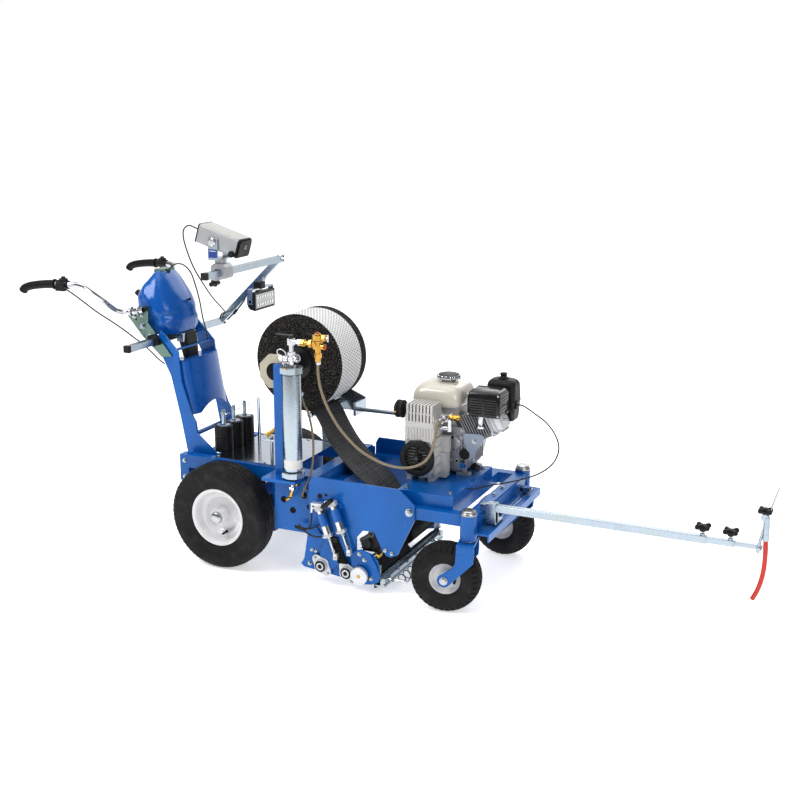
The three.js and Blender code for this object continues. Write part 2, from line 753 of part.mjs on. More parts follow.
function headCarriage() {
  const barrel = (top) => rod(alongStroke(top, 0), alongStroke(top, BARREL_LENGTH), 14, 16);
  const bore = (top) => rod(alongStroke(top, 20), alongStroke(top, BARREL_LENGTH + 20), 6.4, 12);
  const strap = (top, distance) => {
    const [x, , z] = alongStroke(top, distance);
    return box(x - 19, x + 19, -330, -SIDE_PLATE_OUTER - GAP, z - 8, z + 8);
  };
  const bearing = (x, z) => rod([x, -318, z], [x, -SIDE_PLATE_OUTER - GAP, z], 21, 14);
  return join(
    barrel(CUTTER_TOP),
    barrel(PRESS_TOP),
    strap(CUTTER_TOP, 22),
    strap(CUTTER_TOP, 108),
    strap(PRESS_TOP, 22),
    strap(PRESS_TOP, 108),
    box(432, 500, -306, -SIDE_PLATE_OUTER - GAP, 300, 330),
    box(466, 520, -306, -SIDE_PLATE_OUTER - GAP, 214, 250),
    bearing(440, 80),
    bearing(545, 70),
    box(440, 545, -300, -SIDE_PLATE_OUTER - GAP, 60, 82),
    box(418, 450, -300, -SIDE_PLATE_OUTER - GAP, 62, 225),
    box(418, 480, -300, -SIDE_PLATE_OUTER - GAP, 210, 225),
  ).subtract(bore(CUTTER_TOP)).subtract(bore(PRESS_TOP));
}

function strokeRod(top) {
  const [x, , z] = alongStroke(top, 206);
  return join(
    rod(alongStroke(top, 60), alongStroke(top, 206), 6, 12),
    box(x - 10, x + 10, HEAD_Y - 10, HEAD_Y + 10, z - 10, z + 10),
  );
}

function edgeWheel() {
  return turnedY([
    [0, -322], [32, -322], [34, -318], [34, -308], [12, -306], [12, -SIDE_PLATE_OUTER - GAP],
    [0, -SIDE_PLATE_OUTER - GAP],
  ], 20);
}

function feedRoller() {
  return join(
    rod([0, -281.5, 0], [0, 281.5, 0], 8, 14),
    rod([0, 45, 0], [0, 268, 0], 40, 20),
  );
}

plated('laying_beam', layingBeam());
painted('head_carriage', headCarriage());
plated('cutter_rod', strokeRod(CUTTER_TOP));
plated('press_rod', strokeRod(PRESS_TOP));
plated('edge_wheel', edgeWheel(), [601, 0, 71]);
black('feed_roller', feedRoller(), [617, 0, 110]);

// ---------------------------------------------------------------- pointer arm

// A square tube along X whose middle is on the arm's line.
function squareTube(x0, x1, width, bore) {
  const [h, b] = [width / 2, bore / 2];
  return box(x0, x1, ARM_Y - h, ARM_Y + h, ARM_Z - h, ARM_Z + h)
    .subtract(box(x0 + 10, x1 + 10, ARM_Y - b, ARM_Y + b, ARM_Z - b, ARM_Z + b));
}

function armKnob(x, half) {
  return rod([x, ARM_Y, ARM_Z + half - 1], [x, ARM_Y, ARM_Z + half + 26], 5, 10)
    .add(rod([x, ARM_Y - 22, ARM_Z + half + 32], [x, ARM_Y + 22, ARM_Z + half + 32], 9, 10));
}

function armOuter() {
  const half = ARM_WIDTH / 2;
  return join(
    squareTube(1023, 1809, ARM_WIDTH, 20.6),
    armKnob(1796, half),
    box(1047, 1083, ARM_Y - half - 5, ARM_Y + half + 5, 303.4, ARM_Z + half + 5),
    box(1047, 1083, ARM_Y - half - 5, ARM_Y + 70, 303.4, 309),
    rod([1064, ARM_Y + 45, 308], [1064, ARM_Y + 45, 336], 15, 12),
  ).subtract(box(1033.5, 1900, ARM_Y - 10.3, ARM_Y + 10.3, ARM_Z - 10.3, ARM_Z + 10.3));
}

function armMiddle() {
  return join(squareTube(1330, 1901, 20, 14.6), armKnob(1886, 10));
}

function armInner() {
  return join(
    box(1440, 1988, ARM_Y - 7, ARM_Y + 7, ARM_Z - 7, ARM_Z + 7),
    box(1950, 1972, ARM_Y - 9, ARM_Y + 9, ARM_Z - 9, ARM_Z + 9),
  );
}

// The marker swings about the arm's end: a straight pointer above and a soft tube below.
function armMarker() {
  const y = ARM_Y - 16;
  return join(
    rod([1979, y + 6.6, ARM_Z], [1979, y - 10, ARM_Z], 9, 12),
    tube([[1975, y, 352], [1982, y, 400], [2000, y, 478], [2027, y, 579]], 5, 6, 8),
    tube([[1996, y, 474], [1998, y, 343], [1999, y, 299], [1990, y, 256], [1972, y, 193]], 8, 8, 12),
    rod([1990, y - 10, 474], [1990, y + 10, 474], 13, 12),
  );
}

plated('arm_outer', armOuter());
plated('arm_middle', armMiddle());
plated('arm_inner', armInner());
plated('arm_marker', armMarker());

// ---------------------------------------------------------------- hoses and cables

const CORDS = {
  primer_hose: [5, '#b8a98a', [
    [428, -288, 835.6], [428, -289, 815], [437, -292, 760], [460, -296, 703], [494, -300, 648],
    [533, -301, 600], [601, -296, 540], [688, -282, 499], [753, -270, 490], [800, -258, 500],
    [834, -248, 524], [853, -234, 570], [858, -222, 615], [857, -209, 645], [856, -191.8, 648],
  ]],
  drain_hose: [4, '#b8a98a', [
    [330, -236, 700], [341, -236, 667], [356, -236, 641], [368, -239, 605], [379, -243, 550],
    [382, -246, 500], [381, -251, 455], [377, -260, 415], [368, -271, 380], [356, -277, 350],
    [350, -275, 333], [349, -269, 327], [349, -262.7, 326],
  ]],
  throttle_cable: [2.5, '#18181a', [
    [1039.4, 120, 662], [1064, 114, 662], [1113, 85, 649], [1177, 55, 622], [1222, 25, 585], [1241, 0, 545],
    [1230, -26, 502], [1190, -48, 466], [1130, -68, 440], [1073, -86, 424], [1022, -100, 412],
    [966, -109, 394], [938.8, -112, 390],
  ]],
  laser_cable: [2.5, '#18181a', [
    [-157.6, -110, 1264], [-190, -110, 1276], [-218, -112, 1283], [-237, -116, 1268], [-244, -110, 1234],
    [-246, -84, 1176], [-250, -40, 1111], [-262, 40, 1036], [-282, 140, 960], [-300, 230, 905],
    [-326, 290, 876], [-352, 309, 862], [-360, 312, 852], [-361, 312, 841.4],
  ]],
  cowl_cable: [2.5, '#18181a', [
    [-395, 0, 1083.6], [-386, 0, 1097], [-362, 0, 1113], [-330, 4, 1112], [-302, 12, 1085],
    [-292, 30, 1029], [-291, 54, 964], [-296, 80, 890], [-293, 98, 830], [-292, 104, 796.4],
  ]],
  handle_cable: [2.5, '#18181a', [
    [-642, -343.4, 1052], [-622, -346, 1040], [-596, -338, 1022], [-566, -316, 990], [-538, -280, 950],
    [-508, -240, 912], [-478, -200, 872], [-452, -172, 838], [-428, -152, 812], [-398, -139, 780],
    [-368, -133.6, 752], [-340, -133.4, 735],
  ]],
};

for (const [name, [radius, color, route]] of Object.entries(CORDS)) {
  part(name, tube(route, radius, 8, 24), color, 0.6, 0.0);
}
part('coil_hose', rod([COIL_X, -244, 50], [COIL_X, 180, 50], 22, 12), '#c9ccd0', 0.4, 0.0);

export default machine;
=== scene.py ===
import math
import random

import bmesh
import bpy
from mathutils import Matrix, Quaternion, Vector


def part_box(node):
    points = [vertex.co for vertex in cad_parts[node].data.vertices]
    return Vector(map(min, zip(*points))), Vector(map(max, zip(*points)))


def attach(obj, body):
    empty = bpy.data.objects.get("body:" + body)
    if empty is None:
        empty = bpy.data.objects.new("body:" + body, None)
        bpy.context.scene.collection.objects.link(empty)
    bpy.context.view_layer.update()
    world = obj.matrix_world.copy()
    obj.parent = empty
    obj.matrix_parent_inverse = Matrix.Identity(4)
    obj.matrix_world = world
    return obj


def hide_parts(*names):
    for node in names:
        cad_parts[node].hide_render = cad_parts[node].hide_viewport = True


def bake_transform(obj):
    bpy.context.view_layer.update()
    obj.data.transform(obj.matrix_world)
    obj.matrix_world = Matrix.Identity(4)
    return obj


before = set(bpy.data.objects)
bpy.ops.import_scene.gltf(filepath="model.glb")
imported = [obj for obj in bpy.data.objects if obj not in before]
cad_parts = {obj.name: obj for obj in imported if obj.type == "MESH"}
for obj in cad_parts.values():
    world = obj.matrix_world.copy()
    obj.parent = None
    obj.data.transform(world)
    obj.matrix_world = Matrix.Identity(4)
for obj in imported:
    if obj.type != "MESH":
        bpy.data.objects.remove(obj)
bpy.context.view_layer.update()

# The model is drawn in millimetres from the middle of the rear axle, at ground level:
# +X is the way the machine travels and -Y is its near side.
SIDES = {"near": -1, "far": 1}
AHEAD, NEAR, FAR, UP = (1, 0, 0), (0, -1, 0), (0, 1, 0), (0, 0, 1)


def middle(node):
    low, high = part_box(node)
    return (low + high) / 2


AXLE = (middle("near_rear_rim") + middle("far_rear_rim")) / 2


def at(x, y, z):
    """A point of the machine, in the frame's metres."""
    return Vector((AXLE.x + x / 1000, AXLE.y + y / 1000, z / 1000))


# ---------------------------------------------------------------- materials

MATERIALS = {}


def nodes_of(name):
    """Starts a material, and gives its node tree, its shader and the object's coordinates."""
    made = MATERIALS[name] = bpy.data.materials.new(name)
    made.use_nodes = True
    tree = made.node_tree
    place = tree.nodes.new("ShaderNodeTexCoord")
    return tree, tree.nodes["Principled BSDF"], place.outputs["Object"]


def noise(tree, place, scale, detail=4.0, stretch=None):
    texture = tree.nodes.new("ShaderNodeTexNoise")
    texture.inputs["Scale"].default_value = scale
    texture.inputs["Detail"].default_value = detail
    if stretch:
        mapping = tree.nodes.new("ShaderNodeMapping")
        mapping.inputs["Scale"].default_value = stretch
        tree.links.new(place, mapping.inputs["Vector"])
        place = mapping.outputs["Vector"]
    tree.links.new(place, texture.inputs["Vector"])
    return texture.outputs["Fac"]


def ramp(tree, factor, stops):
    """Colours or greys along a factor; stops are (place, colour)."""
    made = tree.nodes.new("ShaderNodeValToRGB")
    elements = made.color_ramp.elements
    while len(elements) < len(stops):
        elements.new(0.5)
    for element, (where, colour) in zip(elements, stops):
        element.position = where
        element.color = (*colour, 1.0) if hasattr(colour, "__len__") else (colour,) * 3 + (1.0,)
    tree.links.new(factor, made.inputs["Fac"])
    return made.outputs["Color"]


def bump(tree, height, depth_mm, shader, strength=1.0, under=None):
    made = tree.nodes.new("ShaderNodeBump")
    made.inputs["Strength"].default_value = strength
    made.inputs["Distance"].default_value = depth_mm / 1000
    tree.links.new(height, made.inputs["Height"])
    if under:
        tree.links.new(under, made.inputs["Normal"])
    tree.links.new(made.outputs["Normal"], shader.inputs["Normal"])
    return made.outputs["Normal"]


def math_node(tree, operation, *values):
    made = tree.nodes.new("ShaderNodeMath")
    made.operation = operation
    for socket, value in zip(made.inputs, values):
        if isinstance(value, (int, float)):
            socket.default_value = value
        else:
            tree.links.new(value, socket)
    return made.outputs["Value"]


def scaled(colour, amount):
    return tuple(min(1.0, channel * amount) for channel in colour)


def finish_material(name, colour, rough, metallic=0.0, coat=0.0, shade=0.12, cloud=9.0,
                    grain=350.0, grain_mm=0.03, dirt=0.0, shine=0.5):
    """A finish with cloudy colour, uneven gloss, fine grain and, where asked, dry dust."""
    tree, shader, place = nodes_of(name)
    shader.inputs["Metallic"].default_value = metallic
    shader.inputs["Specular IOR Level"].default_value = shine
    if coat:
        shader.inputs["Coat Weight"].default_value = coat
        shader.inputs["Coat Roughness"].default_value = 0.08
    clouds = noise(tree, place, cloud)
    stops = [(0.3, scaled(colour, 1 - shade)), (0.7, scaled(colour, 1 + shade))]
    tint = ramp(tree, clouds, stops)
    if dirt:
        mix = tree.nodes.new("ShaderNodeMix")
        mix.data_type = "RGBA"
        dust = ramp(tree, noise(tree, place, 23.0, 8.0), [(0.5, 0.0), (0.78, dirt)])
        tree.links.new(dust, mix.inputs["Factor"])
        tree.links.new(tint, mix.inputs["A"])
        mix.inputs["B"].default_value = (0.30, 0.28, 0.25, 1)
        tint = mix.outputs["Result"]
    tree.links.new(tint, shader.inputs["Base Color"])
    gloss = ramp(tree, noise(tree, place, 31.0, 6.0), [(0.25, rough * 0.8), (0.75, min(1, rough * 1.25))])
    tree.links.new(gloss, shader.inputs["Roughness"])
    bump(tree, noise(tree, place, grain, 2.0), grain_mm, shader)


def zinc_material(name, colour, rough):
    """Bright zinc plate: cool, faintly spangled and drawn along one way."""
    tree, shader, place = nodes_of(name)
    shader.inputs["Metallic"].default_value = 1.0
    cells = tree.nodes.new("ShaderNodeTexVoronoi")
    cells.inputs["Scale"].default_value = 60
    tree.links.new(place, cells.inputs["Vector"])
    clouds = math_node(tree, "MULTIPLY_ADD", cells.outputs["Distance"], 0.12, noise(tree, place, 9.0, 4.0))
    warm = (colour[0] * 0.98, colour[1] * 0.97, colour[2] * 0.88)
    tint = ramp(tree, clouds, [(0.35, scaled(colour, 0.90)), (0.55, colour), (0.8, warm)])
    tree.links.new(tint, shader.inputs["Base Color"])
    streaks = noise(tree, place, 60.0, 3.0, stretch=(1, 1, 9))
    gloss = ramp(tree, streaks, [(0.3, rough * 0.85), (0.7, rough * 1.15)])
    tree.links.new(gloss, shader.inputs["Roughness"])
    bump(tree, streaks, 0.002, shader)


def braid_material(name, colour):
    """A braided sleeve: two crossing sets of fine strands."""
    tree, shader, place = nodes_of(name)
    strands = []
    for turn in (0.7, -0.7):
        mapping = tree.nodes.new("ShaderNodeMapping")
        mapping.inputs["Rotation"].default_value = (turn, turn, turn)
        tree.links.new(place, mapping.inputs["Vector"])
        wave = tree.nodes.new("ShaderNodeTexWave")
        wave.inputs["Scale"].default_value = 190
        wave.inputs["Distortion"].default_value = 0.4
        tree.links.new(mapping.outputs["Vector"], wave.inputs["Vector"])
        strands.append(wave.outputs["Fac"])
    weave = math_node(tree, "MULTIPLY", *strands)
    tint = ramp(tree, weave, [(0.05, scaled(colour, 0.55)), (0.6, scaled(colour, 1.15))])
    tree.links.new(tint, shader.inputs["Base Color"])
    shader.inputs["Roughness"].default_value = 0.55
    bump(tree, weave, 0.35, shader)


def tape_side_material(name):
    """The edges of the wound tape: black and coarse, with pale flecks in rings."""
    tree, shader, place = nodes_of(name)
    flecks = noise(tree, place, 260.0, 3.0)
    tint = ramp(tree, flecks, [(0.42, (0.006, 0.006, 0.006)), (0.55, (0.028, 0.027, 0.025)),
                               (0.66, (0.16, 0.15, 0.135)), (0.74, (0.02, 0.02, 0.02))])
    tree.links.new(tint, shader.inputs["Base Color"])
    shader.inputs["Roughness"].default_value = 0.75
    shader.inputs["Specular IOR Level"].default_value = 0.15
    bump(tree, flecks, 1.6, shader)


def tape_tread_material(name, centre, step_mm):
    """The tape's white face with its small grid of raised dots, laid round the roll."""
    tree, shader, place = nodes_of(name)
    parts = tree.nodes.new("ShaderNodeSeparateXYZ")
    tree.links.new(place, parts.inputs["Vector"])
    across = math_node(tree, "SUBTRACT", parts.outputs["X"], centre.x)
    up = math_node(tree, "SUBTRACT", parts.outputs["Z"], centre.z)
    angle = math_node(tree, "ARCTAN2", up, across)
    radius = (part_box("tape_roll")[1].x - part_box("tape_roll")[0].x) / 2
    round_way = math_node(tree, "MULTIPLY", angle, 2 * math.pi * radius * 1000 / step_mm)
    along = math_node(tree, "MULTIPLY", parts.outputs["Y"], 2 * math.pi * 1000 / step_mm)
    wave_a = math_node(tree, "SINE", round_way)
    wave_b = math_node(tree, "SINE", math_node(tree, "MULTIPLY", along, 0.55))
    dots = math_node(tree, "MULTIPLY", wave_a, wave_b)
    tint = ramp(tree, dots, [(0.25, (0.72, 0.72, 0.72)), (0.70, (0.27, 0.27, 0.28))])
    tree.links.new(tint, shader.inputs["Base Color"])
    shader.inputs["Roughness"].default_value = 0.6
    bump(tree, dots, 0.6, shader)


def glow_material(name, colour, strength):
    tree, shader, place = nodes_of(name)
    spots = ramp(tree, noise(tree, place, 900.0, 1.0), [(0.35, scaled(colour, 0.75)), (0.65, colour)])
    tree.links.new(spots, shader.inputs["Base Color"])
    tree.links.new(spots, shader.inputs["Emission Color"])
    shader.inputs["Emission Strength"].default_value = strength
    shader.inputs["Roughness"].default_value = 0.2


def make_materials():
    finish_material("blue", (0.001, 0.125, 0.43), 0.30, coat=0.25, shade=0.10, cloud=5.0, grain_mm=0.02,
                    shine=0.4)
    finish_material("hood_blue", (0.001, 0.105, 0.40), 0.24, coat=0.4, shade=0.08, cloud=4.0, grain_mm=0.01,
                    shine=0.45)
    finish_material("cylinder_blue", (0.002, 0.12, 0.43), 0.35, coat=0.4)
    zinc_material("zinc", (0.44, 0.50, 0.56), 0.28)
    zinc_material("tray_zinc", (0.52, 0.56, 0.64), 0.16)
    zinc_material("olive_zinc", (0.20, 0.29, 0.26), 0.30)
    zinc_material("steel", (0.50, 0.51, 0.52), 0.28)
    finish_material("chrome", (0.60, 0.61, 0.63), 0.08, metallic=1.0, shade=0.05, grain_mm=0.005)
    finish_material("brass", (0.62, 0.38, 0.10), 0.24, metallic=1.0, shade=0.15, cloud=40.0)
    finish_material("cast_alloy", (0.46, 0.47, 0.49), 0.40, metallic=0.6, shade=0.18, grain=420.0,
                    grain_mm=0.18)
    finish_material("dark_alloy", (0.10, 0.105, 0.11), 0.5, metallic=0.7, shade=0.25, grain_mm=0.15,
                    shine=0.4)
    finish_material("bright_alloy", (0.64, 0.65, 0.66), 0.32, metallic=0.5, shade=0.08, grain_mm=0.06)
    finish_material("laser_alloy", (0.42, 0.43, 0.44), 0.34, metallic=0.3, shade=0.05, grain_mm=0.03)
    finish_material("housing_alloy", (0.58, 0.57, 0.55), 0.46, metallic=0.3, shade=0.08, grain=500.0,
                    grain_mm=0.10)
    finish_material("white", (0.70, 0.70, 0.71), 0.24, coat=0.5, shade=0.03, grain_mm=0.02, dirt=0.03)
    finish_material("cream", (0.60, 0.57, 0.50), 0.22, coat=0.7, shade=0.04, cloud=3.0, grain_mm=0.02)
    finish_material("block_cream", (0.50, 0.46, 0.37), 0.55, shade=0.08)
    finish_material("tyre", (0.018, 0.018, 0.019), 0.55, shade=0.25, grain=600.0, grain_mm=0.12, dirt=0.10,
                    shine=0.22)
    finish_material("rubber", (0.012, 0.012, 0.013), 0.48, shade=0.2, grain=700.0, grain_mm=0.08, shine=0.25)
    finish_material("black_plastic", (0.016, 0.016, 0.017), 0.42, shade=0.2, grain=900.0, grain_mm=0.10,
                    shine=0.32)
    finish_material("black_gloss", (0.009, 0.009, 0.010), 0.20, coat=0.4, shade=0.2, grain_mm=0.02)
    finish_material("black_paint", (0.018, 0.018, 0.019), 0.36, coat=0.2, shade=0.25, grain=500.0,
                    grain_mm=0.09, shine=0.35)
    finish_material("iron", (0.022, 0.022, 0.024), 0.38, metallic=0.3, shade=0.3, grain=260.0, grain_mm=0.2,
                    shine=0.3)
    finish_material("web", (0.075, 0.075, 0.077), 0.55, shade=0.25, grain=700.0, grain_mm=0.15, shine=0.25)
    # painted shade: a near-black finish laid in holes, slots and gaps, where only shade is seen
    finish_material("painted_shade", (0.004, 0.004, 0.004), 0.9, shade=0.2)
    finish_material("yellow", (0.72, 0.42, 0.03), 0.38, coat=0.3, shade=0.06)
    finish_material("red_tube", (0.55, 0.03, 0.012), 0.35, coat=0.3, shade=0.08)
    finish_material("label_white", (0.70, 0.70, 0.68), 0.4, shade=0.03)
    finish_material("panel_blue", (0.015, 0.06, 0.28), 0.35, coat=0.3, shade=0.05)
    finish_material("cable", (0.012, 0.012, 0.013), 0.36, shade=0.2, grain_mm=0.03)
    finish_material("coil", (0.16, 0.17, 0.18), 0.22, coat=0.5, shade=0.08)
    finish_material("panel_metal", (0.36, 0.42, 0.50), 0.36, metallic=0.35, shade=0.1, grain_mm=0.05)
    finish_material("floor", (0.90, 0.90, 0.90), 0.8, shade=0.004, cloud=1.5, grain=60.0, grain_mm=0.01)
    glow = MATERIALS["floor"].node_tree.nodes["Principled BSDF"].inputs
    glow["Emission Color"].default_value = (1.0, 1.0, 1.0, 1.0)
    glow["Emission Strength"].default_value = 0.55
    braid_material("braid", (0.36, 0.30, 0.21))
    tape_side_material("tape_side")
    tape_tread_material("tape_tread", middle("tape_roll"), 13.0)
    glow_material("led", (0.86, 0.88, 0.90), 0.35)
    # The amber dots on the fuel tank and the intake filter glow faintly: a painted glow, since neither is a
    # lamp.
    glow_material("amber_painted_glow", (0.75, 0.35, 0.05), 0.2)


# ---------------------------------------------------------------- shapes

def frame_round(direction):
    """A direction at unit length, and two directions square to it."""
    along = Vector(direction).normalized()
    helper = Vector(UP) if abs(along.z) < 0.9 else Vector(AHEAD)
    first = helper.cross(along).normalized()
    return along, first, along.cross(first)


def smooth_path(points, per_span=8):
    """A centripetal curve through points, as a list of closely spaced points."""
    points = [Vector(p) for p in points]
    if len(points) < 3:
        return points
    ends = [2 * points[0] - points[1], *points, 2 * points[-1] - points[-2]]
    line = []
    for p0, p1, p2, p3 in zip(ends, ends[1:], ends[2:], ends[3:]):
        t0, t1 = 0.0, math.sqrt((p1 - p0).length)
        t2 = t1 + math.sqrt((p2 - p1).length)
        t3 = t2 + math.sqrt((p3 - p2).length)
        for step in range(per_span):
            t = t1 + (t2 - t1) * step / per_span
            a1 = (t1 - t) / (t1 - t0) * p0 + (t - t0) / (t1 - t0) * p1
            a2 = (t2 - t) / (t2 - t1) * p1 + (t - t1) / (t2 - t1) * p2
            a3 = (t3 - t) / (t3 - t2) * p2 + (t - t2) / (t3 - t2) * p3
            b1 = (t2 - t) / (t2 - t0) * a1 + (t - t0) / (t2 - t0) * a2
            b2 = (t3 - t) / (t3 - t1) * a2 + (t - t1) / (t3 - t1) * a3
            line.append((t2 - t) / (t2 - t1) * b1 + (t - t1) / (t2 - t1) * b2)
    line.append(points[-1])
    return line


class Piece:
    """One visible piece, built from several closed shapes in millimetres."""

    def __init__(self, name, material, origin=(0, 0), turn=0):
        """Points are turned about the upright axis by turn degrees, then moved to origin."""
        self.name = name
        self.origin = origin
        self.turn = math.radians(turn)
        self.bm = bmesh.new()
        self.materials = [material]
        self.slot = 0

    def use(self, material):
        if material not in self.materials:
            self.materials.append(material)
        self.slot = self.materials.index(material)
        return self

    def placed(self, point):
        x, y, z = point
        c, s = math.cos(self.turn), math.sin(self.turn)
        return at(self.origin[0] + x * c - y * s, self.origin[1] + x * s + y * c, z)

    def shell(self, points, faces):
        verts = [self.bm.verts.new(self.placed(p)) for p in points]
        for face in faces:
            self.bm.faces.new([verts[i] for i in face]).material_index = self.slot
        return self

    def rings(self, rings, closed_path=False):
        """A skin over equal rings of points; open ends are capped."""
        count = len(rings[0])
        faces = []
        spans = len(rings) if closed_path else len(rings) - 1
        for i in range(spans):
            a, b = i * count, ((i + 1) % len(rings)) * count
            for k in range(count):
                n = (k + 1) % count
                faces.append((a + k, a + n, b + n, b + k))
        if not closed_path:
            faces.append(tuple(range(count))[::-1])
            faces.append(tuple(range((len(rings) - 1) * count, len(rings) * count)))
        return self.shell([p for ring in rings for p in ring], faces)

    def box(self, x0, x1, y0, y1, z0, z1):
        return self.rings([[(x, y0, z0), (x, y1, z0), (x, y1, z1), (x, y0, z1)] for x in (x0, x1)])

    def rod(self, start, end, radius, sides=24, end_radius=None, spin=0.0):
        _, first, second = frame_round(Vector(end) - Vector(start))
        rings = []
        for place, size in ((start, radius), (end, end_radius or radius)):
            ring = []
            for k in range(sides):
                angle = 2 * math.pi * k / sides + spin
                ring.append(Vector(place) + size * (math.cos(angle) * first + math.sin(angle) * second))
            rings.append(ring)
        return self.rings(rings)

    def lathe(self, profile, centre, direction=FAR, segments=64, warp=None, closed=False):
        """Turns (radius, distance) points about an axis. warp(angle, radius, distance) gives
        a point's changed radius and distance. A closed profile joins its ends."""
        along, first, second = frame_round(direction)
        rings = []
        for k in range(segments):
            angle = 2 * math.pi * k / segments
            way = math.cos(angle) * first + math.sin(angle) * second
            ring = []
            for radius, distance in profile:
                if warp:
                    radius, distance = warp(angle, radius, distance)
                ring.append(Vector(centre) + radius * way + distance * along)
            rings.append(ring)
        count = len(profile)
        points = [p for ring in rings for p in ring]
        spans = count if closed else count - 1
        faces = []
        for k in range(segments):
            a, b = k * count, ((k + 1) % segments) * count
            for i in range(spans):
                n = (i + 1) % count
                faces.append((a + i, a + n, b + n, b + i))
        start = len(self.bm.verts)
        self.shell(points, faces)
        self.bm.verts.ensure_lookup_table()
        made = [self.bm.verts[i] for i in range(start, len(self.bm.verts))]
        bmesh.ops.remove_doubles(self.bm, verts=made, dist=1e-6)
        return self

    def prism(self, plane, outline, low, high):
        """An outline swept along the axis that its plane leaves out: 'xz', 'yz' or 'xy'."""
        def place(u, v, w):
            return {"xz": (u, w, v), "yz": (w, u, v), "xy": (u, v, w)}[plane]
        return self.rings([[place(u, v, w) for u, v in outline] for w in (low, high)])

    def sheet(self, front, back):
        """A thin closed slab between two equal grids of points."""
        rows, columns = len(front), len(front[0])
        points = [p for row in front for p in row] + [p for row in back for p in row]
        other = rows * columns
        faces = []
        for i in range(rows - 1):
            for k in range(columns - 1):
                a = i * columns + k
                quad = (a, a + 1, a + columns + 1, a + columns)
                faces.append(quad)
                faces.append(tuple(other + n for n in reversed(quad)))
        edge = list(range(columns))
        edge += [i * columns + columns - 1 for i in range(1, rows)]
        edge += [(rows - 1) * columns + k for k in range(columns - 2, -1, -1)]
        edge += [i * columns for i in range(rows - 2, 0, -1)]
        for a, b in zip(edge, edge[1:] + edge[:1]):
            faces.append((b, a, other + a, other + b))
        return self.shell(points, faces)

    def tube(self, line, radius, sides=12, radii=None):
        """A round tube along a line of points, with its ends closed."""
        line = [Vector(p) for p in line]
        rings = []
        first = None
        for i, place in enumerate(line):
            ahead = line[min(i + 1, len(line) - 1)] - line[max(i - 1, 0)]
            along = ahead.normalized()
            if first is None:
                first = frame_round(along)[1]
            first = (first - along * first.dot(along)).normalized()
            second = along.cross(first)
            size = radii[i] if radii else radius
            rings.append([
                place + size * (math.cos(t) * first + math.sin(t) * second)
                for t in (2 * math.pi * k / sides for k in range(sides))
            ])
        return self.rings(rings)

    def stack(self, x, y, rows):
        """Upright rods on one line: each row is (start, end, radius, sides)."""
        for low, high, radius, sides in rows:
            self.rod((x, y, low), (x, y, high), radius, sides)
        return self

    def arms(self, centre, reach, drop, rise, turn, sides, sizes):
        """The four arms of a wing knob, from drop above its centre out to rise."""
        x, y, z = centre
        for k in range(4):
            angle = math.radians(turn + 90 * k)
            tip = (x + reach * math.cos(angle), y + reach * math.sin(angle), z + rise)
            self.tube([(x, y, z + drop), tip], sizes[0], sides, radii=sizes)
        return self

    def bolt(self, place, direction, size, washer=True):
        """A hexagon head with its washer, standing on a face."""
        place, along = Vector(place), Vector(direction).normalized()
        head = place + along * size * 0.12
        if washer:
            self.rod(place, head, size * 0.72, 20)
        self.rod(head, head + along * size * 0.42, size * 0.54, 6)
        return self.rod(head, head + along * size * 0.52, size * 0.30, 16)

    def done(self, body, bevel=0.0, angle=35, replaces=(), slot=None, segments=2, subdivide=0, ride=True):
        bmesh.ops.recalc_face_normals(self.bm, faces=self.bm.faces)
        mesh = bpy.data.meshes.new(self.name)
        self.bm.to_mesh(mesh)
        self.bm.free()
        for name in self.materials:
            mesh.materials.append(MATERIALS[name])
        made = bpy.data.objects.new(self.name, mesh)
        bpy.context.collection.objects.link(made)
        dress(made, bevel, angle, segments, subdivide)
        if ride:
            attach(made, body)
        if replaces:
            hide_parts(*([replaces] if isinstance(replaces, str) else replaces))
        return made


def dress(made, bevel, angle, segments=2, subdivide=0):
    """Smooth shading with true edges, and rounded corners where asked."""
    for polygon in made.data.polygons:
        polygon.use_smooth = True
    made.data.set_sharp_from_angle(angle=math.radians(angle))
    if bevel:
        rounding = made.modifiers.new("rounding", "BEVEL")
        rounding.width = bevel / 1000
        rounding.segments = segments
        rounding.limit_method = "ANGLE"
        rounding.angle_limit = math.radians(angle)
        rounding.harden_normals = False
    if subdivide:
        finer = made.modifiers.new("finer", "SUBSURF")
        finer.levels = finer.render_levels = subdivide


def finish_node(node, material, bevel=1.2, angle=35):
    """Gives a CAD node its material, smooth round faces and rounded edges."""
    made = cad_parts[node]
    made.data.materials.clear()
    made.data.materials.append(MATERIALS[material])
    dress(made, bevel, angle)
    return made


# ---------------------------------------------------------------- camera, floor and light

DISPLAY_GAMMA = 0.84
CAMERA_PLACE = (2432, -4024, 1784)
CAMERA_TURNS = (24.25, 14.27, 0.25)
CAMERA_LENS = 54.72
LIGHTS_AIM = (550, 0, 450)
# Each light's name, place, size in metres and watts.
LIGHTS = (("key", (-1800, -2600, 3600), 2.0, 96), ("fill", (3600, -2200, 2400), 1.8, 38),
          ("back", (600, 3200, 3000), 2.6, 32), ("top", (500, 0, 4200), 3.0, 34),)
FLOOR_REACH = 40


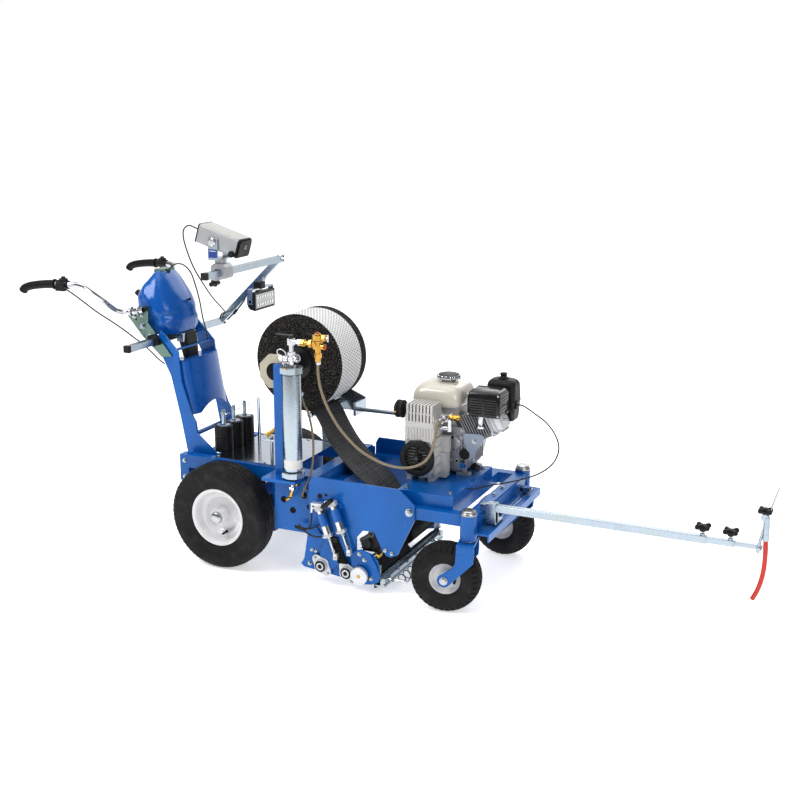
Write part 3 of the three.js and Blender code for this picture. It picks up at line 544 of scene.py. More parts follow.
def camera_and_light():
    """The camera, a world that is bright behind the machine and overhead, four lights and a floor."""
    scene = bpy.context.scene
    scene.view_settings.view_transform = "Standard"
    scene.view_settings.gamma = DISPLAY_GAMMA
    yaw, pitch, roll = (math.radians(v) for v in CAMERA_TURNS)
    data = bpy.data.cameras.new("camera")
    data.sensor_width = 36
    data.lens = CAMERA_LENS
    data.clip_end = 100
    camera = bpy.data.objects.new("camera", data)
    camera.rotation_mode = "QUATERNION"
    back = Vector((math.sin(yaw) * math.cos(pitch), -math.cos(yaw) * math.cos(pitch), math.sin(pitch)))
    camera.location = at(*CAMERA_PLACE)
    level = (-back).to_track_quat("-Z", "Y")
    camera.rotation_quaternion = Quaternion(back, roll) @ level
    scene.collection.objects.link(camera)
    scene.camera = camera

    world = bpy.data.worlds.new("studio")
    world.use_nodes = True
    tree = world.node_tree
    background = tree.nodes["Background"]
    look = tree.nodes.new("ShaderNodeTexCoord")
    toward = tree.nodes.new("ShaderNodeVectorMath")
    toward.operation = "DOT_PRODUCT"
    tree.links.new(look.outputs["Generated"], toward.inputs[0])
    toward.inputs[1].default_value = (-math.sin(yaw), math.cos(yaw), 0)
    parts = tree.nodes.new("ShaderNodeSeparateXYZ")
    tree.links.new(look.outputs["Generated"], parts.inputs["Vector"])
    backdrop = ramp(tree, toward.outputs["Value"], [(0.0, 0.0), (0.30, 0.25), (0.62, 1.0)])
    ceiling = ramp(tree, parts.outputs["Z"], [(0.0, 0.22), (0.70, 0.30), (0.88, 1.0)])
    sky = math_node(tree, "MAXIMUM", backdrop, ceiling)
    tree.links.new(sky, background.inputs["Color"])
    background.inputs["Strength"].default_value = 1.0
    scene.world = world
    for name, spot, size, power in LIGHTS:
        lamp = bpy.data.lights.new(name, "AREA")
        lamp.size = size
        lamp.energy = power
        thing = bpy.data.objects.new(name, lamp)
        thing.location = at(*spot)
        aim = at(*LIGHTS_AIM) - thing.location
        thing.rotation_mode = "QUATERNION"
        thing.rotation_quaternion = aim.to_track_quat("-Z", "Y")
        scene.collection.objects.link(thing)

    mesh = bpy.data.meshes.new("floor")
    corners = [(x * FLOOR_REACH, y * FLOOR_REACH, 0) for x, y in ((-1, -1), (1, -1), (1, 1), (-1, 1))]
    mesh.from_pydata(corners, [], [(0, 1, 2, 3)])
    mesh.materials.append(MATERIALS["floor"])
    floor = bpy.data.objects.new("floor", mesh)
    floor.location.z = -0.0005
    scene.collection.objects.link(floor)


# ---------------------------------------------------------------- hoses and cables

# Each cord's radius, material, far end and route, in millimetres, as the CAD model has it.
CORDS = {
    "primer_hose": (5, "braid", "medium", [
        (428, -288, 835.6), (428, -289, 815), (437, -292, 760), (460, -296, 703), (494, -300, 648),
        (533, -301, 600), (601, -296, 540), (688, -282, 499), (753, -270, 490), (800, -258, 500),
        (834, -248, 524), (853, -234, 570), (858, -222, 615), (857, -209, 645), (856, -191.8, 648),
    ]),
    "drain_hose": (4, "braid", "medium", [
        (330, -236, 700), (341, -236, 667), (356, -236, 641), (368, -239, 605), (379, -243, 550),
        (382, -246, 500), (381, -251, 455), (377, -260, 415), (368, -271, 380), (356, -277, 350),
        (350, -275, 333), (349, -269, 327), (349, -262.7, 326),
    ]),
    "throttle_cable": (2.5, "cable", "medium", [
        (1039.4, 120, 662), (1064, 114, 662), (1113, 85, 649), (1177, 55, 622), (1222, 25, 585),
        (1241, 0, 545), (1230, -26, 502), (1190, -48, 466), (1130, -68, 440), (1073, -86, 424),
        (1022, -100, 412), (966, -109, 394), (938.8, -112, 390),
    ]),
    "laser_cable": (2.5, "cable", "medium", [
        (-157.6, -110, 1264), (-190, -110, 1276), (-218, -112, 1283), (-237, -116, 1268),
        (-244, -110, 1234), (-246, -84, 1176), (-250, -40, 1111), (-262, 40, 1036), (-282, 140, 960),
        (-300, 230, 905), (-326, 290, 876), (-352, 309, 862), (-360, 312, 852), (-361, 312, 841.4),
    ]),
    "cowl_cable": (2.5, "cable", "medium", [
        (-395, 0, 1083.6), (-386, 0, 1097), (-362, 0, 1113), (-330, 4, 1112), (-302, 12, 1085),
        (-292, 30, 1029), (-291, 54, 964), (-296, 80, 890), (-293, 98, 830), (-292, 104, 796.4),
    ]),
    "handle_cable": (2.5, "cable", "medium", [
        (-642, -343.4, 1052), (-622, -346, 1040), (-596, -338, 1022), (-566, -316, 990),
        (-538, -280, 950), (-508, -240, 912), (-478, -200, 872), (-452, -172, 838),
        (-428, -152, 812), (-398, -139, 780), (-368, -133.6, 752), (-340, -133.4, 735),
    ]),
}
# The cables whose one end moves with a jointed body, and where along them they bend.
BENDING = {
    "laser_cable": ("laser_box", (-237, -116, 1100), (-180, -110, 1276)),
    "handle_cable": ("near_handlebar", (-480, -200, 872), (-630, -343, 1050)),
}


def cords():
    for name, (radius, material, stiffness, route) in CORDS.items():
        line = smooth_path(route, 6)
        cord = Piece(name + "_run", material).tube(line, radius, 12)
        bends = name in BENDING
        made = cord.done("chassis", ride=not bends, replaces=name)
        if bends:
            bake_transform(made)


def free_cord(name, line, radius, swing=None):
    """A short black cord that only the visual model has, fixed at both its ends."""
    cord = Piece(name, "cable").tube(line, radius, 12)
    made = cord.done("chassis", slot="cable_black", ride=swing is None)
    if swing:
        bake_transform(made)


COIL_TURNS = 10
COIL_RADIUS = 19
COIL_WIRE = 2.2


def coil_hose():
    """The coiled air line behind the caster, with both ends in the laying beam."""
    low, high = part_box("coil_hose")
    centre = (low + high) / 2
    start, end = low.y * 1000, high.y * 1000
    middle_x, middle_z = (centre.x - AXLE.x) * 1000, centre.z * 1000
    shift = AXLE.y * 1000
    line = []
    steps = 22 * COIL_TURNS
    for i in range(steps + 1):
        share = i / steps
        angle = 2 * math.pi * COIL_TURNS * share
        y = start + (end - start) * share - shift
        line.append(Vector((
            middle_x + COIL_RADIUS * math.cos(angle), y, middle_z + COIL_RADIUS * math.sin(angle),
        )))
    made = Piece("coil_hose_run", "coil").tube(line, COIL_WIRE, 8).done("chassis", replaces="coil_hose")


# ---------------------------------------------------------------- wheels

REAR_WHEEL = {"x": 0, "y": 272, "z": 205}
CASTER_PIVOT = (1013, 290)
CASTER_TURN = {"near": 10, "far": -5}
CASTER_TRAIL = 75
CASTER_RADIUS = 127


def rear_tread(angle, radius, distance):
    """Block edges on the outer ribs and short cuts in the middle ones of the rear tyres."""
    if radius < 188:
        return radius, distance
    cut = math.sin(angle * 64 + distance * 0.12)
    depth = 1.2 if 26 < abs(distance) and cut > 0.25 else 0
    if abs(distance) <= 26 and cut > 0.86:
        depth = 1.4
    return radius - depth, distance


def rear_tyre(side):
    half = [(103.2, 34), (104, 40), (110, 43.5), (118, 45), (121, 47.5), (126, 49), (129, 48.5), (142, 55),
            (156, 58), (168, 58.6), (180, 57), (183, 58), (186, 57), (193, 53), (198, 48), (201, 43),
            (202.5, 38), (203.5, 33)]
    tread = []
    for groove in (27, 9.5):
        tread += [(204.2, groove + 3.5), (204.4, groove + 2), (200, groove + 1.4), (200, groove - 1.4),
                  (204.6, groove - 2)]
    tread += [(205, 5), (205, 0)]
    outer = half + tread
    profile = outer + [(r, -d) for r, d in reversed(outer[:-1])]
    sign = SIDES[side]
    tyre = Piece(f"{side}_rear_tyre_moulded", "tyre")
    tyre.lathe(profile, (0, sign * REAR_WHEEL["y"], REAR_WHEEL["z"]), (0, sign, 0), 256, rear_tread, True)
    tyre.done(f"{side}_rear_wheel", 0, 40, f"{side}_rear_tyre", "rubber_tyre")


def rear_rim(side):
    profile = [(26, 44), (28, 42), (28.5, 0), (31, -3.5), (36, -5), (56, -5), (63, -3), (68, 3), (71, 9),
               (76, 12), (83, 13), (89, 15), (93, 21), (95.5, 34), (99, 42), (104, 45.5), (109, 46.5),
               (112.5, 45), (112.8, 42), (107, 40.5), (103, 39), (102.7, 36), (102.7, -36), (107, -40.5),
               (112.8, -42), (112, -46), (104, -45.5), (97, -40), (95, 2), (84, 4), (58, -9), (34, -9),
               (30, -12), (30, -30), (13.8, -30), (13.8, 44),]
    sign = SIDES[side]
    y, z = sign * REAR_WHEEL["y"], REAR_WHEEL["z"]
    rim = Piece(f"{side}_rear_rim_pressed", "white")
    rim.lathe(profile, (0, y, z), (0, sign, 0), 96, closed=True)
    rim.use("steel")
    cap = [(0, 61), (9, 60.5), (17, 59), (21.5, 55.5), (23, 50), (23, 45.5), (20.5, 44.5), (20.5, 43),
           (0, 43)]
    rim.lathe(cap, (0, y, z), (0, sign, 0), 48)
    rim.use("rubber")
    valve = Vector((17, y, z - 66))
    out = Vector((0, sign, 0))
    rim.rod(valve + out * 7, valve + out * 13, 6.5, 16, 4.5)
    rim.rod(valve + out * 12, valve + out * 33, 3.4, 12)
    rim.use("black_plastic").rod(valve + out * 24, valve + out * 36, 4.2, 12)
    rim.done(f"{side}_rear_wheel", 0, 35, f"{side}_rear_rim", "white_paint")


def caster_tread(angle, radius, distance):
    """Diamond blocks across the caster tyres, and teeth down their shoulders."""
    if radius < 104:
        return radius, distance
    turns = angle * 17
    if abs(distance) > 29:
        tooth = 0.5 + 0.5 * math.sin(2 * turns + math.pi / 2)
        cut = min(1, max(0, 2.4 * tooth - 0.8))
        return radius - 3.5 * cut, distance - math.copysign(3.5 * cut, distance)
    lattice = abs(math.sin(turns + distance / 6.2) * math.sin(turns - distance / 6.2))
    return radius - 5.5 * (1 - min(1, lattice / 0.30)) ** 0.5, distance


def caster_wheel(side):
    half = [(56, 30), (57, 35), (62, 37.5), (66, 37.5), (70, 39.5), (80, 42), (92, 42.6), (102, 41),
            (104.5, 41), (110, 38.6), (115, 35.5), (119, 31.5)]
    crown = [(127 - 5.0 * (d / 28) ** 2, d) for d in range(28, 0, -3)]
    outer = half + crown
    profile = outer + [(r, -d) for r, d in reversed(outer)]
    sign = SIDES[side]
    wheel = Piece(f"{side}_caster_wheel_whole", "tyre", (CASTER_PIVOT[0], sign * CASTER_PIVOT[1]),
                  CASTER_TURN[side])
    hub = (-CASTER_TRAIL, 0, CASTER_RADIUS)
    wheel.lathe(profile, hub, (0, sign, 0), 272, caster_tread, True)
    wheel.use("white")
    dish = [(20, 44), (21, 16), (24, 12), (40, 11), (47, 14), (51, 20), (53, 29), (58, 34.5), (61.5, 35.5),
            (62.5, 33), (57.5, 30)]
    rim = dish + [(56, 28), (56, -28)] + [(r, -d) for r, d in reversed(dish)] + [(8.6, -44), (8.6, 44)]
    wheel.lathe(rim, hub, (0, sign, 0), 72, closed=True)
    wheel.use("steel").lathe([(8.6, 44), (14, 44), (14, 45.6), (8.6, 45.6)], hub, (0, sign, 0), 32,
                             closed=True)
    valve = Vector(hub) + Vector((34, 0, -12))
    out = Vector((0, sign, 0))
    wheel.use("rubber").rod(valve + out * 11, valve + out * 30, 4, 12)
    wheel.rod(valve + out * 22, valve + out * 34, 5.2, 12)
    wheel.done(f"{side}_caster_wheel", 0, 40, f"{side}_caster_wheel", "rubber_tyre")


def arc(x, z, radius, start, end, steps):
    turn = [math.radians(start + (end - start) * i / steps) for i in range(steps + 1)]
    return [(x + radius * math.cos(t), z + radius * math.sin(t)) for t in turn]


def caster_fork(side):
    sign = SIDES[side]
    place = (CASTER_PIVOT[0], sign * CASTER_PIVOT[1])
    fork = Piece(f"{side}_caster_fork_bent", "blue", place, CASTER_TURN[side])
    leg = [(-33, 262), (30, 262), (31, 226), (28, 198)] + arc(-CASTER_TRAIL, 127, 24, -42, -228, 20) + [
        (-44, 178), (-36, 198), (-34, 226)]
    for y in (-54, 46):
        fork.prism("xz", leg, y, y + 8)
    fork.box(-33, 30, -54, 54, 256, 265)
    fork.done(f"{side}_caster_fork", 2.2, 40, f"{side}_caster_fork", "blue_paint", 3)
    metal = Piece(f"{side}_caster_fork_fittings", "steel", place, CASTER_TURN[side])
    metal.lathe([(0, 265.2), (26, 265.2), (27, 267), (26, 269.6), (0, 269.6)], (0, 0, 0), UP, 40)
    metal.rod((0, 0, 265), (0, 0, 362), 16)
    dome = [(0, 360.3), (29, 360.3), (30.2, 361.6), (30.2, 366), (28.5, 369), (26, 371.5), (25, 375.5),
            (21, 378.6), (0, 379.8)]
    metal.lathe(dome, (0, 0, 0), UP, 56)
    metal.rod((-CASTER_TRAIL, -46, 127), (-CASTER_TRAIL, 46, 127), 8)
    for y in (-54, 54):
        out = math.copysign(1, y)
        metal.rod((-CASTER_TRAIL, y, 127), (-CASTER_TRAIL, y + 2 * out, 127), 15, 28)
        metal.rod((-CASTER_TRAIL, y + 2 * out, 127), (-CASTER_TRAIL, y + 8.5 * out, 127), 12, 6)
        metal.rod((-CASTER_TRAIL, y + 8 * out, 127), (-CASTER_TRAIL, y + 9 * out, 127), 8, 20)
    metal.done(f"{side}_caster_fork", 0.8, 30, (), "zinc")


# ---------------------------------------------------------------- frames

def frames():
    for node, bevel in (("rear_frame", 2.5), ("front_frame", 2.5), ("engine_deck", 2.5),
                        ("near_side_plate", 1.2),
                        ("far_side_plate", 1.2), ("column_frame", 1.5)):
        finish_node(node, "blue", bevel)
    finish_node("floor_tray", "tray_zinc", 0.8)


def bumper_fittings():
    """The slotted strip on the bumper shelf, its hand knob and the arm's rest."""
    strip = Piece("bumper_strip", "zinc")
    for x in (1054, 1068.5):
        strip.box(x, x + 4.5, -246, 246, 299, 304)
    strip.box(1054, 1073, -246, 246, 298.5, 301)
    strip.done("chassis", 0.5, slot="zinc")
    knob = Piece("bumper_knob", "black_plastic")
    knob.rod((1064, 178, 301), (1064, 178, 314), 9, 20)
    knob.arms((1064, 178, 0), 20, 320, 321, 45, 12, [8.5, 8.5])
    knob.rod((1064, 178, 312), (1064, 178, 329), 13, 24)
    knob.use("chrome").rod((1064, 178, 328), (1064, 178, 331), 5, 6)
    knob.done("chassis", 1.6, 30, slot="black_plastic")


def frame_bolts():
    bolts = Piece("frame_bolts", "zinc")
    for sign in SIDES.values():
        out = (0, sign, 0)
        bolts.bolt((787, sign * 290, 334), out, 21)
        for x, z in ((694, 176), (720, 168), (412, 128), (394, 131)):
            bolts.lathe([(0, 0), (8, 0), (8.5, 2), (6.5, 5), (3, 6.4), (0, 6.8)], (x, sign * 290, z), out, 24)
        for x, z in ((-218, 372), (-218, 306), (-60, 360), (0, 366), (60, 360)):
            bolts.bolt((x, sign * 200, z), out, 13)
        bolts.bolt((355, sign * 262, 352), out, 12)
    for y in (-215, 120):
        for x in (742, 912):
            bolts.bolt((x, y, 399), UP, 15)
    for y in (-150, -30, 60):
        bolts.bolt((1012, y, 352), UP, 13)
    for x, y in ((-80, -170), (-80, 170), (130, -176), (130, 176), (240, 176)):
        bolts.lathe([(0, 0), (7, 0), (7, 1.6), (4, 3.4), (0, 3.8)], (x, y, 400), UP, 20)
    bolts.done("chassis", 0.4, 30, slot="zinc")


def grommets():
    ring = Piece("cable_grommets", "rubber")
    torus = [(6, -3), (11, -3), (12.5, 0), (11, 3), (6, 3), (5, 0)]
    for x, z in ((349, 326), (372, 284), (262, 300), (300, 262)):
        y = -262
        ring.lathe(torus, (x, y, z), NEAR, 32, closed=True)
        # a near-black disc in each grommet: painted shade in the hole
        ring.use("painted_shade").rod((x, y + 1, z), (x, y - 1.2, z), 8, 20)
        ring.use("rubber")
    ring.lathe([(0, 0), (9, 0), (9, 2.5), (0, 3)], (430, -290, 345), NEAR, 24)
    ring.lathe([(0, 0), (5, 0), (5, 2), (0, 2.5)], (455, -290, 352), NEAR, 20)
    ring.done("chassis", 0.5, slot="rubber_tyre")


# ---------------------------------------------------------------- column, hood and cover

COVER_TILT = math.radians(-10)
COVER_FOOT = (-223, 538)
COVER_HEIGHT = 220
COVER_HALF = 120


def on_cover(x, y, z):
    """A point of the upright cover, leaned back with the column."""
    turned_x = x * math.cos(COVER_TILT) + z * math.sin(COVER_TILT)
    turned_z = -x * math.sin(COVER_TILT) + z * math.cos(COVER_TILT)
    return (COVER_FOOT[0] + turned_x, y, COVER_FOOT[1] + turned_z)


def column_cover():
    half = [(-24, -COVER_HALF), (-8, -COVER_HALF), (0, -COVER_HALF + 1.5), (4, -COVER_HALF + 6)]
    bow = []
    steps = 40
    for i in range(1, steps):
        y = -COVER_HALF + 2 * COVER_HALF * i / steps
        crown = 34 * max(0.0, math.cos(math.pi * y / (2 * COVER_HALF))) ** 0.6
        if abs(y) < COVER_HALF - 8:
            bow.append((max(crown, 6), y))
    line = half + bow + [(x, -y) for x, y in reversed(half)]
    outer_rows, inner_rows = [], []
    rows = 14
    for x, y in line:
        foot = max(0.0, math.sqrt(max(0.0, 130 ** 2 - y * y)) - 95)
        inside = (x - 4 if abs(y) < COVER_HALF - 1 else x, y - math.copysign(3, y) if x < 2 else y)
        outer_rows.append([on_cover(x, y, foot + (COVER_HEIGHT - foot) * k / rows) for k in range(rows + 1)])
        inner_rows.append([
            on_cover(*inside, foot + (COVER_HEIGHT - 3 - foot) * k / rows) for k in range(rows + 1)
        ])
    cover = Piece("column_cover_bowed", "hood_blue")
    cover.sheet(outer_rows, inner_rows)
    top = line + [(-84, COVER_HALF - 2), (-84, 16), (-70, 12), (-70, -12), (-84, -16),
                  (-84, -COVER_HALF + 2)]
    low = [on_cover(x, y, COVER_HEIGHT - 5) for x, y in top]
    high = [on_cover(x, y, COVER_HEIGHT) for x, y in top]
    cover.rings([low, high])
    cover.done("chassis", 1.0, 40, "column_cover", "blue_paint")


def mix(stops, value):
    """A value read off a list of (place, value) stops, in straight steps."""
    for (a, u), (b, v) in zip(stops, stops[1:]):
        if value <= b:
            share = max(0.0, (value - a) / (b - a))
            return u + (v - u) * share
    return stops[-1][1]


COWL_FRONT = [(846, -312), (870, -307), (900, -304), (940, -312), (970, -324), (1000, -340), (1030, -360),
              (1060, -380), (1080, -396), (1092, -408)]
COWL_REAR = [(846, -474), (870, -480), (900, -487), (950, -497), (985, -501), (1010, -493), (1035, -470),
             (1060, -450), (1080, -434), (1092, -421)]
COWL_WIDTH = [(846, 108), (870, 114), (900, 119), (950, 121), (985, 117), (1010, 108), (1035, 96), (1060, 81),
              (1080, 62), (1092, 24)]


def cowl_ring(z, inset, count=96):
    front, rear, half = mix(COWL_FRONT, z), mix(COWL_REAR, z), mix(COWL_WIDTH, z)
    centre, reach = (front + rear) / 2, (front - rear) / 2
    power = 2 / 3.1
    ring = []
    for k in range(count):
        angle = 2 * math.pi * k / count
        c, s = math.cos(angle), math.sin(angle)
        x = centre + (reach - inset) * math.copysign(abs(c) ** power, c)
        y = (half - inset) * math.copysign(abs(s) ** power, s)
        y *= 1 - 0.22 * max(0.0, c) ** 2
        ridge = z - (1050 - 1.25 * (x + 470))
        y += math.copysign(8.0 * math.exp(-(ridge / 20) ** 2), s) * min(1, abs(s) * 1.6)
        crease = z - (905 + 0.25 * (x + 400))
        y -= math.copysign(6.0 * math.exp(-(crease / 16) ** 2), s) * min(1, abs(s) * 1.6)
        ring.append((x, y, z))
    return ring


def cowl():
    levels = [846, 850] + list(range(860, 1080, 8)) + [1080, 1085, 1089, 1091.5]
    hood = Piece("cowl_moulded", "hood_blue")
    rings = [cowl_ring(892, 6), cowl_ring(847, 4.5)] + [cowl_ring(z, 0) for z in levels]
    hood.rings(rings)
    # a near-black inner wall under the cowl's lip: painted shade in the opening
    hood.use("painted_shade").rings([cowl_ring(850, 7), cowl_ring(893, 7)])
    hood.use("olive_zinc").box(-440, -400, -36, 36, 1076, 1093)
    hood.done("chassis", 0, 50, "cowl", "blue_paint")
    trim = Piece("cowl_trim", "zinc")
    trim.box(-316, -304, -52, 40, 816, 846)
    trim.box(-330, -300, -58, -50, 812, 846)
    trim.use("black_plastic")
    for y in (-50, 50):
        trim.rod((-484, y, 976), (-506, y, 990), 8, 20)
        trim.rod((-502, y, 987), (-518, y, 999), 12, 20)
    trim.use("black_gloss").lathe([(0, 0), (15, 0), (14, 4), (9, 6), (0, 6)], (-440, -86, 1022),
                                  (-0.3, -0.8, 0.5), 32)
    trim.rod((-322, 22, 970), (-312, 22, 974), 5, 16)
    trim.rod((-399, 0, 1074), (-393, 0, 1086), 6, 16)
    trim.done("chassis", 0.8, 30, slot="zinc")
    inner = Piece("column_inner_tube", "black_plastic")
    inner.prism("xz", [(-352, 860), (-330, 790), (-318, 745), (-292, 745), (-294, 790), (-300, 845)], -38, 38)
    inner.done("chassis", 6, 30, slot="black_plastic", segments=3)


def handle_plates():
    for side, sign in SIDES.items():
        finish_node(f"{side}_handle_plate", "olive_zinc", 0.8)
        fittings = Piece(f"{side}_handle_plate_fittings", "zinc")
        face = sign * 139.6
        for x, z in ((-432, 880), (-400, 838)):
            fittings.bolt((x, face, z), (0, sign, 0), 19)
        for x, z in ((-462, 905), (-440, 867)):
            fittings.use("black_plastic").rod((x, face, z), (x, face + sign, z), 4, 12)
        fittings.use("chrome")
        for x, z in ((-436, 944), (-470, 938)):
            loop = []
            for k in range(13):
                angle = math.radians(-20 + 220 * k / 12)
                loop.append((x, sign * 153.4 + 15.5 * math.sin(angle) * sign, z + 15.5 * math.cos(angle)))
            fittings.tube(loop, 3.6, 10)
            fittings.bolt((x, face, z - 22), (0, sign, 0), 12)
        fittings.done("chassis", 0.5, 30, slot="zinc")


HANDLE_PATH = [(-415, 153.4, 948), (-450, 153.4, 941.5), (-485, 153.4, 935), (-517, 190, 944),
               (-541, 260, 1002), (-589, 310, 1053), (-640, 326, 1057), (-683, 330, 1057)]
GRIP_START = (-690, 330.4, 1056.1)
BUTTON_PLACE = (-655, 325, 1075)


def handlebar(side):
    sign = SIDES[side]
    flip = [(x, sign * y, z) for x, y, z in HANDLE_PATH]
    start = Vector((GRIP_START[0], sign * GRIP_START[1], GRIP_START[2]))
    bar = Piece(f"{side}_handlebar_bent", "chrome")
    bar.tube(smooth_path(flip + [tuple(start)], 8), 12.5, 28)
    # a near-black disc in the bar's open end: painted shade inside the tube
    bar.use("painted_shade").rod((-415, sign * 153.4, 948.2), (-414, sign * 153.4, 948.3), 10, 20)
    bar.use("rubber")
    line = smooth_path([start, (-730, sign * 332.8, 1054), (-785, sign * 336, 1047), (-816, sign * 338, 1040),
                        (-835, sign * 339.4, 1031), (-844, sign * 340, 1019)], 8)
    swell = [16.4 - 0.8 * math.sin(math.pi * i / 36) for i in range(len(line) - 5)]
    sizes = [20, 20, 16.5, *swell, 15.5, 12]
    bar.tube(line, 16, 28, radii=sizes)
    x, y, z = BUTTON_PLACE
    bar.use("black_plastic")
    bar.tube([(x + 24, sign * (y + 0.5), 1057), (x - 26, sign * (y + 1.5), 1057)], 16.4, 24)
    bar.lathe([(8.6, z - 8), (16.6, z - 8), (17, z - 4), (17, z + 2), (14.5, z + 5.5), (8.6, z + 6)],
              (x, sign * y, 0), UP, 36, closed=True)
    bar.rod((x, sign * y, 1050), (x, sign * y, z - 7), 15)
    bar.box(x - 22, x + 18, sign * (y + 16) - 8, sign * (y + 16) + 8, 1034, 1062)
    bar.done(f"{side}_handlebar", 0.8, 35, f"{side}_handlebar", "chrome_tube")
    button = Piece(f"{side}_button_moulded", "black_gloss")
    button.lathe([(0, 0), (7.8, 0), (7.8, 10.5), (6.6, 13), (0, 13.8)], (x, sign * y, z), UP, 32)
    button.done(f"{side}_button", 0, 35, f"{side}_button", "black_plastic")


# ---------------------------------------------------------------- light bar, laser and lamp

LASER = (-65, -105, 1235)
LASER_PITCH = math.radians(17)
LAMP = (-168, 324, 938)
LAMP_HALF = 80


def on_laser(along, across, up):
    c, s = math.cos(LASER_PITCH), math.sin(LASER_PITCH)
    return (LASER[0] + along * c + up * s, LASER[1] + across, LASER[2] - along * s + up * c)


def laser_outline(wide, low, high, corner):
    return [(-wide, low + 4), (-wide + 4, low), (wide - 4, low), (wide, low + 4), (wide, high - corner),
            (wide - corner * 0.3, high - corner * 0.3), (wide - corner, high), (-wide + corner, high),
            (-wide + corner * 0.3, high - corner * 0.3), (-wide, high - corner)]


def laser():
    box = Piece("laser_box_cased", "laser_alloy")

    def slab(start, end, outline):
        box.rings([[on_laser(place, u, v) for u, v in outline] for place in (start, end)])

    slab(-92, 84, laser_outline(46, -35, 35, 6))
    box.use("housing_alloy")
    slab(-90, 82, [(-43, 34), (43, 34), (43, 36), (-43, 36)])
    box.use("black_plastic")
    slab(-95, -91, laser_outline(47.5, -36, 36, 6))
    slab(84, 90, laser_outline(47, -36, 36, 12))
    slab(90, 94.6, laser_outline(41, -31, 31, 12))
    box.use("chrome").tube([on_laser(94, 4, 4), on_laser(95, 4, 4)], 7, 24)
    # a near-black disc inside the chrome ring: painted shade in the aperture
    box.use("painted_shade").tube([on_laser(94.6, 4, 4), on_laser(95.4, 4, 4)], 5, 20)
    box.use("black_plastic")
    box.tube([on_laser(72, -46, -25), on_laser(72, -55, -25)], 12, 24)
    box.tube([on_laser(72, -54, -25), on_laser(72, -57, -25)], 9, 24)
    for y, z in ((-22, 4), (-24, -24)):
        box.use("black_plastic").tube([on_laser(-93, y, z), on_laser(-101, y, z)], 8, 20)
        box.use("chrome").tube([on_laser(-100, y, z), on_laser(-104, y, z)], 6.4, 20)
    box.use("black_plastic").tube([on_laser(-92, -5, 0), on_laser(-96, -5, 0)], 7, 20)
    for x in (-84, 78):
        for z in (-28, 28):
            box.use("steel").tube([on_laser(x, -46, z), on_laser(x, -47, z)], 2.6, 12)
    box.done("laser_box", 1.2, 35, "laser_box", "alloy", 3)

    bracket = Piece("laser_bracket_details", "laser_alloy")
    bracket.use("chrome").lathe([(0, 0), (15, 0), (16, 2), (16, 6), (13, 8), (0, 8.5)], (-84, -156.6, 1232),
                                NEAR, 36, knurl)
    bracket.use("panel_blue").box(-103, -66, -157.6, -156.5, 1172, 1204)
    bracket.use("label_white").box(-99, -70, -158, -157.4, 1196, 1199)
    bracket.use("cast_alloy")
    bracket.prism("xz", [(-110, 1086), (-92, 1080), (-92, 1126), (-66, 1126), (-66, 1100), (-54, 1090),
                         (-46, 1096), (-46, 1134), (-58, 1146), (-98, 1146), (-110, 1136)], -134, -76)
    bracket.rod((-83, -105, 1140), (-83, -105, 1166), 22, 32)
    bracket.use("steel").rod((-62, -130, 1166), (-40, -130, 1166), 3, 12)
    bracket.use("black_plastic")
    bracket.rod((-100, -105, 1090), (-112, -105, 1072), 7, 16)
    bracket.rod((-112, -134, 1066), (-114, -76, 1066), 8.5, 16)
    bracket.rod((-113, -105, 1077), (-118, -105, 1058), 13, 20)
    bracket.done("chassis", 1.6, 30, slot="alloy", segments=3)


def knurl(angle, radius, distance):
    return (radius + (0.9 * math.sin(24 * angle) if radius > 14 else 0), distance)


def light_bar():
    finish_node("light_bar", "zinc", 1.5)
    caps = Piece("light_bar_caps", "black_plastic")
    for x, y, z in ((-370, -332, 828), (-78, -230, 1111)):
        caps.box(x - 13.5, x + 13.5, y - 3, y + 12, z - 13.5, z + 13.5)
    caps.box(-383.5, -356.5, 333, 348, 814.5, 841.5)
    caps.box(-91.5, -64.5, 340, 348, 1097.5, 1124.5)
    for y in (-176, -154):
        caps.box(-387, -353, y, y + 12, 811, 845)
    caps.use("zinc").box(-392, -388, -176, -142, 806, 850)
    caps.done("chassis", 2, 30, slot="black_plastic")


